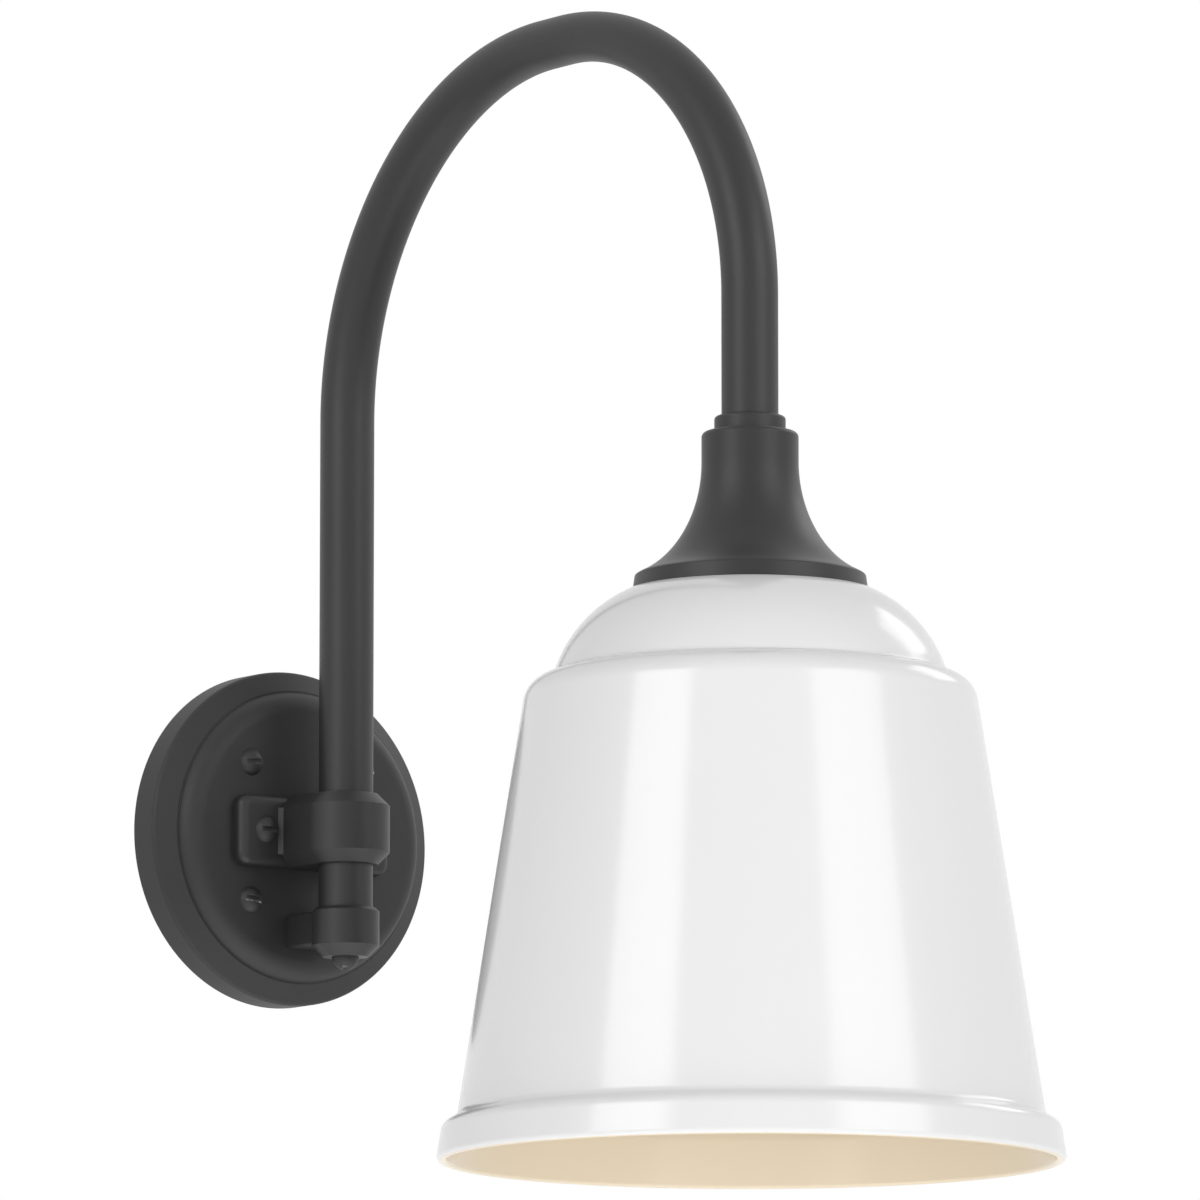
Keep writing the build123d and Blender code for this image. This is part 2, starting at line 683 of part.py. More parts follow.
def socket_cap():
    """Bell that closes the top of the socket and screws on the nipple."""
    skirt = socket_radius + slip_gap
    hub_foot = cap_top - cap_hub_height
    hole = nipple_radius + thread_gap
    dome_top = cap_top - cap_wall
    lines = [
        Line((hole, cap_top), (cap_hub_radius, cap_top)),
        Line((cap_hub_radius, cap_top), (cap_hub_radius, dome_top)),
        EllipticalCenterArc((cap_hub_radius, cap_skirt_top), skirt + cap_wall - cap_hub_radius,
                            dome_top - cap_skirt_top, start_angle=0, arc_size=90),
        Line((skirt + cap_wall, cap_skirt_top), (skirt + cap_wall, cap_skirt_top - cap_skirt)),
        Line((skirt + cap_wall, cap_skirt_top - cap_skirt), (skirt, cap_skirt_top - cap_skirt)),
        Line((skirt, cap_skirt_top - cap_skirt), (skirt, cap_skirt_top)),
        EllipticalCenterArc((cap_hub_radius, cap_skirt_top), skirt - cap_hub_radius,
                            dome_top - cap_wall - cap_skirt_top, start_angle=0, arc_size=90),
        Line((cap_hub_radius, dome_top - cap_wall), (cap_hub_radius, hub_foot)),
        Line((cap_hub_radius, hub_foot), (hole, hub_foot)),
        Line((hole, hub_foot), (hole, cap_top)),
    ]
    return turned(lines, upright_plane(shade_y), shade_axis)


def socket_body():
    """Porcelain lamp holder, hollow for the screw shell."""
    body = ring(socket_radius, shell_bore + shell_wall + slip_gap, socket_foot, shell_top, shade_y)
    body += ring(socket_radius, contact_radius + slip_gap, shell_top, contact_top, shade_y)
    body += ring(socket_radius, rivet_radius + slip_gap, contact_top, socket_top, shade_y)
    low = body.edges().filter_by_position(Axis.Z, socket_foot, socket_foot)
    return chamfer(low.sort_by(SortBy.RADIUS)[-1], socket_lip)


def screw_shell():
    """Brass shell that takes the lamp's screw base."""
    body = ring(shell_bore + shell_wall, shell_bore, shell_foot, shell_top, shade_y)
    return body + ring(shell_bore + shell_wall, 2 * contact_radius, shell_top - shell_wall,
                       shell_top, shade_y)


def centre_contact():
    """Brass contact at the bottom of the socket, riveted through the porcelain."""
    body = ring(contact_radius, 0, shell_top, contact_top, shade_y)
    return body + ring(rivet_radius, 0, contact_top, socket_top - rivet_end, shade_y)


def socket_terminals():
    """Brass terminals on top of the porcelain, one for each lead."""
    return [ring(terminal_radius, 0, socket_top, socket_top + terminal_height,
                 shade_y - side * terminal_out) for side in (1, -1)]


def all_parts():
    """Every sub-part by its name."""
    return {
        "wall_plate": wall_plate(),
        "mounting_plate": mounting_plate(),
        "plate_screws": plate_screws(),
        "ground_screw": ground_screw(),
        "saddle": saddle(),
        "saddle_screws": saddle_screws(),
        "foot_bracket": foot_bracket(),
        "foot_screws": foot_screws(),
        "thrust_washer": thrust_washer(),
        "wire_bushing": wire_bushing(),
        "terminal_block": terminal_block(),
        "terminal_block_screws": terminal_block_screws(),
        "wall_lead_live": wall_lead(1),
        "wall_lead_neutral": wall_lead(-1),
        "arm_tube": arm_tube(),
        "tube_plug": tube_plug(),
        "pivot_screw": pivot_screw(),
        "arm_lead_live": arm_lead(1),
        "arm_lead_neutral": arm_lead(-1),
        "slip_collar": slip_collar(),
        "collar_set_screw": collar_set_screw(),
        "neck_fitter": neck_fitter(),
        "tube_insert": tube_insert(),
        "nipple": nipple(),
        "lock_washer": lock_washer(),
        "locknut": locknut(),
        "shade": shade(),
        "shade_clamp_ring": shade_clamp_ring(),
        "clamp_screws": clamp_screws(),
        "socket_cap": socket_cap(),
        "socket_body": socket_body(),
        "screw_shell": screw_shell(),
        "centre_contact": centre_contact(),
        "socket_terminals": socket_terminals(),
    }


os.makedirs("parts", exist_ok=True)
for name, piece in all_parts().items():
    if isinstance(piece, list):
        piece = Compound(children=piece)
    export_step(piece, f"parts/{name}.step")
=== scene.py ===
import logging
from dataclasses import dataclass, field
from enum import Enum
from functools import reduce

import bmesh
import bpy
import numpy as np
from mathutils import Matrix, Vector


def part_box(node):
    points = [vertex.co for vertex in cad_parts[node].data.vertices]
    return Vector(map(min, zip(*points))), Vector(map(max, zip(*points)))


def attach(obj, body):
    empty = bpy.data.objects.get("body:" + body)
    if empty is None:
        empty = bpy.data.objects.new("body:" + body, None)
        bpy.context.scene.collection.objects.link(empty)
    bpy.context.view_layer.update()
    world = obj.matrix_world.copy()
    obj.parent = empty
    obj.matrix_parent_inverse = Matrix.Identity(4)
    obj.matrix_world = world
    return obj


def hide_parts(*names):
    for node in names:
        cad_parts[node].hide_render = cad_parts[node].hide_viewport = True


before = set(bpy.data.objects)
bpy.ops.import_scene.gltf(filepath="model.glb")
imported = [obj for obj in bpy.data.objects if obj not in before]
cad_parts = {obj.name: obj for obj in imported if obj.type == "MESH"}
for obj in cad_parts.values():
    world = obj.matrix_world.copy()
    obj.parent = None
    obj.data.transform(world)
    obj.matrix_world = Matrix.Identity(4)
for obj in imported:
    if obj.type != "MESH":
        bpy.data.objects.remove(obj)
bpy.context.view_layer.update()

# A barn light on a swing bracket, dressed in its finishes.
# Sizes are millimetres and become metres where a mesh is made. The frame gives the places.

MM = 0.001
# Points of a piece that lie closer than this become one.
MERGE_REACH = 0.00005
# Edges that turn by more degrees than this stay sharp.
CREASE = 32.0
# A corner counts as straight from this half angle in degrees.
STRAIGHT = 89.9
# Numbers of a mix node's sockets for two colours and their blend.
MIX_FIRST, MIX_SECOND, MIX_RESULT = 6, 7, 2
WHITE = (1.0, 1.0, 1.0)
Array = np.ndarray
Colour = tuple[float, float, float]
Socket = bpy.types.NodeSocket
Value = float | Colour | Socket
log = logging.getLogger("barn_light")


class Body(Enum):
    """Bodies that pieces ride on."""

    BRACKET = "bracket"
    ARM = "arm"


class Slot(Enum):
    """Material slots of the record."""

    COAT = "black_coat"
    SCREW = "black_screw"
    ENAMEL = "white_enamel"
    PORCELAIN = "porcelain"
    BRASS = "brass"


class Maths(Enum):
    """Operations on two outputs."""

    PRODUCT = "MULTIPLY"
    HIGHEST = "MAXIMUM"


class Axis(Enum):
    """Directions that a turned piece can stand in."""

    UP = "z"
    DOWN = "-z"
    OUT = "-y"

    def stand(self, across: Array, side: Array, height: Array) -> Array:
        """Points of a piece whose heights run in this direction.

        Args:
            across: Places along X.
            side: Places square to X and to the heights.
            height: Heights.

        Returns:
            Array with x, y and z on its last axis.
        """
        layout = {Axis.UP: (across, side, height), Axis.DOWN: (across, -side, -height),
                  Axis.OUT: (across, -height, side)}
        return np.stack(layout[self], axis=-1)


# Shapes


@dataclass
class Surface:
    """Points of a shape with its faces, in millimetres.

    Attributes:
        points: Array of (count, 3).
        quads: Array of (count, 4) point numbers.
        marks: Numbers on the points, by the name that a finish reads.
    """

    points: Array
    quads: Array
    marks: dict[str, Array] = field(default_factory=dict)

    @classmethod
    def grid(cls, points: Array, wrap_u: bool = False, wrap_v: bool = False) -> "Surface":
        """Faces between the neighbours of a grid of points.

        Args:
            points: Array of (rows, columns, 3).
            wrap_u: Joins the last row to the first.
            wrap_v: Joins the last column to the first.

        Returns:
            The surface, with its points in row order.
        """
        rows, columns = points.shape[:2]
        number = np.arange(rows * columns).reshape(rows, columns)
        number = np.vstack((number, number[:1])) if wrap_u else number
        number = np.hstack((number, number[:, :1])) if wrap_v else number
        corners = (number[:-1, :-1], number[1:, :-1], number[1:, 1:], number[:-1, 1:])
        quads = np.stack([corner.ravel() for corner in corners], axis=1)
        return cls(points.reshape(-1, 3), quads)

    def joined(self, other: "Surface") -> "Surface":
        """This surface and another as one, with marks filled by zero where one has none.

        Args:
            other: The surface to add.

        Returns:
            The joined surface.
        """
        shift = len(self.points)
        marks = {}
        for name in self.marks.keys() | other.marks.keys():
            near = self.marks.get(name, np.zeros(shift))
            far = other.marks.get(name, np.zeros(len(other.points)))
            marks[name] = np.concatenate((near, far))
        points = np.vstack((self.points, other.points))
        return Surface(points, np.vstack((self.quads, other.quads + shift)), marks)

    def volume(self) -> float:
        """Enclosed volume: the sum of the triple products of all triangles, over six.

        Returns:
            Cubic millimetres, negative where the faces point inwards.
        """
        triangles = np.vstack((self.quads[:, [0, 1, 2]], self.quads[:, [0, 2, 3]]))
        a, b, c = (self.points[triangles[:, k]] for k in range(3))
        return float(np.einsum("ij,ij->i", a, np.cross(b, c)).sum() / 6)

    def outward(self) -> "Surface":
        """The same surface with its faces turned outwards.

        Returns:
            This surface, or one with its faces turned over.
        """
        if self.volume() >= 0:
            return self
        return Surface(self.points, self.quads[:, ::-1], self.marks)


def arc(centre: tuple[float, float] | Array, radius: float | tuple[float, float], start: float,
        stop: float, step: float = 4.0) -> Array:
    """Points on a circle: the centre plus the radius times the cosine and sine of the angle.

    Args:
        centre: Centre of the circle.
        radius: Its radius, or two half axes of an ellipse.
        start: First angle in degrees.
        stop: Last angle in degrees.
        step: Degrees between points, at most.

    Returns:
        Array of (count, 2).
    """
    count = int(np.ceil(abs(stop - start) / step)) + 1
    angles = np.radians(np.linspace(start, stop, count))
    return np.array(centre) + np.array(radius) * np.column_stack((np.cos(angles), np.sin(angles)))


def arc_between(start: tuple[float, float], stop: tuple[float, float], radius: float,
                step: float = 2.0) -> Array:
    """Clockwise arc of a given radius between two points.

    The centre lies on the right of the chord, at the height that the radius leaves.

    Args:
        start: First point.
        stop: Last point.
        radius: Radius of the arc.
        step: Degrees between points, at most.

    Returns:
        Array of (count, 2).
    """
    a, b = np.array(start), np.array(stop)
    chord = b - a
    right = np.array((chord[1], -chord[0])) / np.linalg.norm(chord)
    centre = (a + b) / 2 + right * np.sqrt(radius**2 - chord @ chord / 4)
    first = np.degrees(np.arctan2(*(a - centre)[::-1]))
    last = np.degrees(np.arctan2(*(b - centre)[::-1]))
    return arc(centre, radius, first, last, step)


def at_height(start: Array, stop: Array, height: float) -> Array:
    """Point of the line through two points that has a given height."""
    return start + (stop - start) * (height - start[1]) / (stop[1] - start[1])


def tangent_arc(start: Array, direction: Array, stop: Array, step: float = 5.0) -> Array:
    """Arc that leaves a point along a direction and ends at another point.

    Its centre is on the normal of the direction, as far from both points.

    Args:
        start: First point.
        direction: Direction there.
        stop: Last point.
        step: Degrees between points, at most.

    Returns:
        Array of (count, 2).
    """
    ahead = direction / np.linalg.norm(direction)
    normal = np.array((-ahead[1], ahead[0]))
    chord = stop - start
    radius = chord @ chord / (2 * chord @ normal)
    turn = 2 * np.arctan2(chord @ normal, chord @ ahead)
    count = int(np.ceil(abs(np.degrees(turn)) / step)) + 1
    angles = np.linspace(0, turn, count)[:, None]
    centre = start + radius * normal
    return centre + radius * (np.sin(angles) * ahead - np.cos(angles) * normal)


def plain(points: Array) -> list[tuple[float, float, float]]:
    """Points of a line as corners without rounding."""
    return [(*point, 0) for point in points]


def rounded(corners: list[tuple[float, float, float]], step: float = 9.0,
            support: float = 0.25) -> Array:
    """Line through corners that are rounded by tangent arcs.

    An arc starts at the rounding over the tangent of half the corner's angle from the corner.
    Long straight runs get a point near each end, so that shading stays flat between the arcs.

    Args:
        corners: Corners as x, y and rounding, which is zero for a plain point.
        step: Degrees between points of an arc, at most.
        support: Distance of the added points from the ends of a run.

    Returns:
        Array of (count, 2).
    """
    spots = np.array([corner[:2] for corner in corners])
    bends = [spots[:1]]
    for before, here, after, corner in zip(spots, spots[1:], spots[2:], corners[1:]):
        back = (before - here) / np.linalg.norm(before - here)
        on = (after - here) / np.linalg.norm(after - here)
        half = np.arccos(np.clip(back @ on, -1, 1)) / 2
        if corner[2] == 0 or half > np.radians(STRAIGHT):
            bends.append(here[None])
            continue
        centre = here + (back + on) / np.linalg.norm(back + on) * corner[2] / np.sin(half)
        start = here + back * corner[2] / np.tan(half) - centre
        turn = (np.pi - 2 * half) * np.sign(np.cross(here - before, after - here))
        count = max(3, int(np.ceil(abs(np.degrees(turn)) / step)) + 1)
        angles = np.linspace(0, turn, count)[:, None]
        side = np.array((-start[1], start[0]))
        bends.append(centre + np.cos(angles) * start + np.sin(angles) * side)
    bends.append(spots[-1:])
    line = [bends[0]]
    for before, after in zip(bends, bends[1:]):
        run = after[0] - before[-1]
        length = np.linalg.norm(run)
        if length > 4 * support:
            share = support / length
            line.append(before[-1] + run * np.array(((share,), (1 - share,))))
        line.append(after)
    return np.vstack(line)


def turned(profile: Array, axis: Axis, origin: tuple[float, float, float], segments: int,
           closed: bool = True) -> Surface:
    """Profile of radius and height carried round an axis.

    A point is the origin plus the radius times the cosine and sine of the turn across the axis,
    plus the height along it.

    Args:
        profile: Array of (count, 2).
        axis: Direction of the heights.
        origin: Where radius and height are zero.
        segments: Steps of a full turn.
        closed: Joins the profile's end to its start.

    Returns:
        The surface.
    """
    angles = np.linspace(0, 2 * np.pi, segments, endpoint=False)[:, None]
    radius, height = profile[:, 0][None], profile[:, 1][None] + 0 * angles
    points = axis.stand(radius * np.cos(angles), radius * np.sin(angles), height) + np.array(origin)
    return Surface.grid(points, wrap_u=True, wrap_v=closed)


@dataclass(frozen=True)
class Place:
    """Lowest and highest corners of a node, in millimetres."""

    low: Array
    high: Array

    @classmethod
    def of(cls, node: str) -> "Place":
        """The place of a node."""
        low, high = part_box(node)
        return cls(np.array(low) / MM, np.array(high) / MM)

    @property
    def centre(self) -> Array:
        """Middle of the box."""
        return (self.low + self.high) / 2

    @property
    def radius(self) -> float:
        """Half of the width along X."""
        return (self.high[0] - self.low[0]) / 2

    def axis_point(self, height: float) -> tuple[float, float, float]:
        """Point at a height on the upright axis through the middle."""
        return self.centre[0], self.centre[1], height


# Finishes


class Shader:
    """Nodes of a tree round its main shader."""

    def __init__(self, tree: bpy.types.NodeTree, main: str) -> None:
        """Takes a node tree and the name of its main shader."""
        self.tree = tree
        self.main = tree.nodes[main]

    def plug(self, socket: Socket, value: Value) -> None:
        """Links an output to an input, or sets the input to a number or colour.

        Args:
            socket: The input.
            value: What it gets.
        """
        if isinstance(value, Socket):
            self.tree.links.new(value, socket)
        else:
            socket.default_value = (*value, 1.0) if socket.type == "RGBA" else value

    def feed(self, name: str, value: Value) -> None:
        """Plugs a value into an input of the main shader."""
        self.plug(self.main.inputs[name], value)

    def add(self, kind: str, inputs: dict[str | int, Value], **options: str) -> bpy.types.Node:
        """Adds a node.

        Args:
            kind: Kind of node.
            inputs: What its inputs get, by their names or numbers.
            options: Settings of the node.

        Returns:
            The new node.
        """
        node = self.tree.nodes.new("ShaderNode" + kind)
        for name, option in options.items():
            setattr(node, name, option)
        for key, value in inputs.items():
            self.plug(node.inputs[key], value)
        return node

    def point(self) -> Socket:
        """Object coordinates of the surface."""
        return self.add("TexCoord", {}).outputs["Object"]

    def mark(self, name: str) -> Socket:
        """A number that the mesh carries under a name."""
        return self.add("Attribute", {}, attribute_name=name).outputs["Fac"]

    def maths(self, operation: Maths, first: Socket, second: Socket) -> Socket:
        """Result of an operation on two outputs."""
        return self.add("Math", {0: first, 1: second}, operation=operation.value).outputs[0]

    def seen(self) -> Socket:
        """Marks the rays that show a thing: to the camera, in a mirror and through glass.

        Returns:
            Output that is 1 for such a ray and 0 for others.
        """
        rays = self.add("LightPath", {}).outputs
        shown = self.maths(Maths.HIGHEST, rays["Is Camera Ray"], rays["Is Glossy Ray"])
        return self.maths(Maths.HIGHEST, shown, rays["Is Transmission Ray"])

    def noise(self, size: float, detail: float = 2.0) -> Socket:
        """Noise on object coordinates.

        Args:
            size: Width of a spot in millimetres.
            detail: Octaves of finer noise.

        Returns:
            Output from 0 to 1.
        """
        inputs = {"Vector": self.point(), "Scale": 1 / (size * MM), "Detail": detail}
        return self.add("TexNoise", inputs).outputs["Fac"]

    def span(self, source: Socket, low: float | Socket, high: float,
             start: float = 0.3, stop: float = 0.7) -> Socket:
        """Maps an output linearly from a start and stop to a low and high value.

        Args:
            source: Output to map.
            low: Value at the start.
            high: Value at the stop.
            start: Source value that gives the low value.
            stop: Source value that gives the high value.

        Returns:
            The mapped output.
        """
        inputs = {"Value": source, "From Min": start, "From Max": stop, "To Min": low, "To Max": high}
        return self.add("MapRange", inputs).outputs["Result"]

    def blend(self, share: Socket, first: Colour | Socket, second: Colour | Socket) -> Socket:
        """Colour between two colours.

        Args:
            share: Output that is 0 at the first colour and 1 at the second.
            first: Colour, or an output with one.
            second: Colour, or an output with one.

        Returns:
            The blended colour.
        """
        inputs = {0: share, MIX_FIRST: first, MIX_SECOND: second}
        return self.add("Mix", inputs, data_type="RGBA").outputs[MIX_RESULT]

    def bump(self, height: Socket, depth: float, under: Socket | None = None) -> Socket:
        """Normal of a fine relief.

        Args:
            height: Output from 0 to 1.
            depth: Depth of the relief in millimetres.
            under: Normal of a coarser relief.

        Returns:
            The normal.
        """
        node = self.add("Bump", {"Strength": 1.0, "Distance": depth * MM, "Height": height})
        if under is not None:
            self.plug(node.inputs["Normal"], under)
        return node.outputs["Normal"]


@dataclass(frozen=True)
class Finish:
    """A finish with its name; a kind of finish paints its own nodes."""

    name: str

    def material(self) -> bpy.types.Material:
        """The material of this finish, made once.

        Returns:
            The material.
        """
        found = bpy.data.materials.get(self.name)
        if found is None:
            found = bpy.data.materials.new(self.name)
            found.use_nodes = True
            self.paint(Shader(found.node_tree, "Principled BSDF"))
        return found

    def paint(self, shader: Shader) -> None:
        """Sets the finish up on a shader."""
        raise NotImplementedError


@dataclass(frozen=True)
class PowderCoat(Finish):
    """Matte coat with a fine grain and a faint orange peel."""

    dark: Colour
    light: Colour
    roughness: tuple[float, float] = (0.41, 0.51)
    gloss: float = 0.44
    sheen: float = 0.0
    sheen_roughness: float = 0.35
    cloud: float = 38.0
    grain: float = 0.35
    grain_depth: float = 0.006
    peel: float = 2.6
    peel_depth: float = 0.01

    def paint(self, shader: Shader) -> None:
        """Colour drifts in soft clouds, roughness and relief follow the grain.

        Args:
            shader: Nodes of the material.
        """
        grain = shader.noise(self.grain, detail=3.0)
        peel = shader.bump(shader.noise(self.peel, detail=1.0), self.peel_depth)
        cloud = shader.noise(self.cloud, detail=3.0)
        shader.feed("Base Color", shader.blend(cloud, self.dark, self.light))
        shader.feed("Roughness", shader.span(grain, *self.roughness))
        shader.feed("Normal", shader.bump(grain, self.grain_depth, peel))
        shader.feed("Specular IOR Level", self.gloss)
        shader.feed("Sheen Weight", self.sheen)
        shader.feed("Sheen Roughness", self.sheen_roughness)


@dataclass(frozen=True)
class Enamel(Finish):
    """Gloss enamel on a spun shell, with another colour on the inside."""

    outside: Colour
    shaded: Colour
    inside: Colour
    inside_deep: Colour
    roughness: tuple[float, float] = (0.15, 0.19)
    gloss: float = 0.55
    cloud: float = 70.0
    spot: float = 1.4
    wave: float = 16.0
    wave_depth: float = 0.03
    grain: float = 1.1
    grain_depth: float = 0.0015

    def paint(self, shader: Shader) -> None:
        """The liner mark picks the side; long soft waves bend the reflections a little.

        Args:
            shader: Nodes of the material.
        """
        cloud = shader.noise(self.cloud)
        white = shader.blend(cloud, self.shaded, self.outside)
        cream = shader.blend(cloud, self.inside_deep, self.inside)
        shader.feed("Base Color", shader.blend(shader.mark("liner"), white, cream))
        shader.feed("Roughness", shader.span(shader.noise(self.spot), *self.roughness))
        waves = shader.bump(shader.noise(self.wave, detail=0.0), self.wave_depth)
        grain = shader.noise(self.grain, detail=1.0)
        shader.feed("Normal", shader.bump(grain, self.grain_depth, waves))
        shader.feed("Specular IOR Level", self.gloss)


@dataclass(frozen=True)
class BlackedSteel(Finish):
    """Blackened steel that is bare where the driver sits."""

    coat: Colour
    bare: Colour
    worn: float = 1.6
    worn_edge: tuple[float, float] = (0.45, 0.6)
    least_worn: float = 0.2
    roughness: tuple[float, float] = (0.5, 0.62)
    cloud: float = 2.5
    cloud_gain: float = 1.5
    scratch: float = 0.5
    scratch_depth: float = 0.008

    def paint(self, shader: Shader) -> None:
        """Worn spots of the bare mark show bright scratched metal.

        Args:
            shader: Nodes of the material.
        """
        worn = shader.noise(self.worn, detail=1.0)
        spots = shader.span(worn, self.least_worn, 1.0, *self.worn_edge)
        bare = shader.maths(Maths.PRODUCT, shader.mark("bare"), spots)
        scratch = shader.noise(self.scratch, detail=4.0)
        lighter = tuple(self.cloud_gain * part for part in self.coat)
        coat = shader.blend(shader.noise(self.cloud, detail=3.0), self.coat, lighter)
        shader.feed("Base Color", shader.blend(bare, coat, self.bare))
        shader.feed("Metallic", bare)
        shader.feed("Roughness", shader.span(scratch, *self.roughness))
        shader.feed("Normal", shader.bump(scratch, self.scratch_depth))


@dataclass(frozen=True)
class BareMetal(Finish):
    """Bare or plated metal with a spangle and fine scratches."""

    dark: Colour
    light: Colour
    spangle: float
    roughness: tuple[float, float]
    scratch: float = 0.8
    scratch_depth: float = 0.004

    def paint(self, shader: Shader) -> None:
        """Spangle sets the colour, scratches the gloss.

        Args:
            shader: Nodes of the material.
        """
        cells = {"Vector": shader.point(), "Scale": 1 / (self.spangle * MM)}
        spangle = shader.add("TexVoronoi", cells).outputs["Color"]
        scratch = shader.noise(self.scratch, detail=5.0)
        shader.feed("Base Color", shader.blend(spangle, self.dark, self.light))
        shader.feed("Roughness", shader.span(scratch, *self.roughness))
        shader.feed("Normal", shader.bump(scratch, self.scratch_depth))
        shader.feed("Metallic", 1.0)


@dataclass(frozen=True)
class Glaze(Finish):
    """Clear glaze over a pale body, or a moulded surface with little gloss."""

    dark: Colour
    light: Colour
    roughness: tuple[float, float]
    coat: float
    cloud: float = 6.0
    coat_roughness: float = 0.06
    spot: float = 1.5
    ripple: float = 2.2
    ripple_depth: float = 0.006

    def paint(self, shader: Shader) -> None:
        """Soft clouds of colour under an even coat.

        Args:
            shader: Nodes of the material.
        """
        cloud = shader.noise(self.cloud, detail=3.0)
        shader.feed("Base Color", shader.blend(cloud, self.dark, self.light))
        shader.feed("Roughness", shader.span(shader.noise(self.spot), *self.roughness))
        shader.feed("Normal", shader.bump(shader.noise(self.ripple, detail=1.0), self.ripple_depth))
        shader.feed("Coat Weight", self.coat)
        shader.feed("Coat Roughness", self.coat_roughness)


@dataclass(frozen=True)
class GlowingFloor(Glaze):
    """Pale floor that glows where it is seen."""

    glow: float = 0.5

    def paint(self, shader: Shader) -> None:
        """The glaze, with a white glow for the rays that show it.

        Args:
            shader: Nodes of the material.
        """
        super().paint(shader)
        shader.feed("Emission Color", WHITE)
        shader.feed("Emission Strength", shader.span(shader.seen(), 0.0, self.glow, 0.0, 1.0))


COAT = PowderCoat("black_powder_coat", (0.015, 0.015, 0.0155), (0.02, 0.02, 0.0205))
CAST = PowderCoat("cast_powder_coat", (0.015, 0.015, 0.0155), (0.02, 0.02, 0.0205), (0.5, 0.6))
FINE = PowderCoat("fine_powder_coat", (0.012, 0.012, 0.0125), (0.016, 0.016, 0.0165), sheen=0.14)
SCREW = BlackedSteel("blacked_steel", (0.013, 0.013, 0.0135), (0.72, 0.72, 0.73))
ENAMEL = Enamel("two_tone_enamel", (0.8, 0.8, 0.8), (0.775, 0.775, 0.775),
                (0.8, 0.69, 0.52), (0.77, 0.66, 0.49))
ZINC = BareMetal("zinc_plate", (0.55, 0.56, 0.58), (0.68, 0.69, 0.7), 2.5, (0.26, 0.4))
BRASS = BareMetal("pressed_brass", (0.68, 0.48, 0.2), (0.8, 0.6, 0.28), 5.0, (0.2, 0.32))
SPUN = BareMetal("spun_aluminium", (0.7, 0.71, 0.72), (0.78, 0.79, 0.8), 3.0, (0.3, 0.44))
PORCELAIN = Glaze("glazed_porcelain", (0.8, 0.79, 0.75), (0.85, 0.84, 0.81), (0.12, 0.2), 0.6)
IVORY = Glaze("ivory_plastic", (0.72, 0.69, 0.6), (0.78, 0.75, 0.67), (0.4, 0.52), 0.0)
GREEN = Glaze("green_passivated_steel", (0.02, 0.2, 0.06), (0.03, 0.28, 0.09), (0.3, 0.42), 0.2)
BLACK_WIRE = Glaze("black_insulation", (0.014, 0.014, 0.014), (0.024, 0.024, 0.024), (0.42, 0.55), 0.0)
WHITE_WIRE = Glaze("white_insulation", (0.7, 0.7, 0.68), (0.78, 0.78, 0.76), (0.42, 0.55), 0.0)
FLOOR = GlowingFloor("pale_floor", (0.78, 0.78, 0.78), (0.82, 0.82, 0.82), (0.6, 0.7), 0.0, cloud=400.0)

# Nodes that keep their own meshes, by finish.
CARRIED = {
    COAT: ("saddle", "foot_bracket"),
    ZINC: ("mounting_plate", "foot_screws", "thrust_washer", "lock_washer", "locknut", "shade_clamp_ring",
           "clamp_screws", "tube_plug", "tube_insert", "nipple", "terminal_block_screws"),
    GREEN: ("ground_screw",),
    BRASS: ("centre_contact", "socket_terminals"),
    SPUN: ("socket_cap",),
    IVORY: ("terminal_block", "wire_bushing"),
    BLACK_WIRE: ("wall_lead_live", "arm_lead_live"),
    WHITE_WIRE: ("wall_lead_neutral", "arm_lead_neutral"),
    SCREW: ("collar_set_screw",),
}


def add_piece(name: str, surface: Surface, finish: Finish, body: Body, node: str) -> None:
    """Puts a surface into the scene in the place of a node.

    Args:
        name: Name of the piece.
        surface: Its shape.
        finish: Its finish.
        body: Body that it rides on.
        node: Node that it replaces.
    """
    surface = surface.outward()
    mesh = bpy.data.meshes.new(name)
    mesh.from_pydata((surface.points * MM).tolist(), [], surface.quads.tolist())
    for mark, values in surface.marks.items():
        layer = mesh.attributes.new(mark, "FLOAT", "POINT")
        layer.data.foreach_set("value", values.astype(np.float32))
    shape = bmesh.new()
    shape.from_mesh(mesh)
    bmesh.ops.remove_doubles(shape, verts=shape.verts, dist=MERGE_REACH * MM)
    shape.to_mesh(mesh)
    shape.free()
    mesh.polygons.foreach_set("use_smooth", np.ones(len(mesh.polygons), bool))
    mesh.set_sharp_from_angle(angle=np.radians(CREASE))
    mesh.materials.append(finish.material())
    piece = bpy.data.objects.new(name, mesh)
    bpy.context.scene.collection.objects.link(piece)
    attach(piece, body.value)
    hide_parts(node)
    log.info("%s: %d faces for %s", name, len(mesh.polygons), node)


# Sub-assemblies


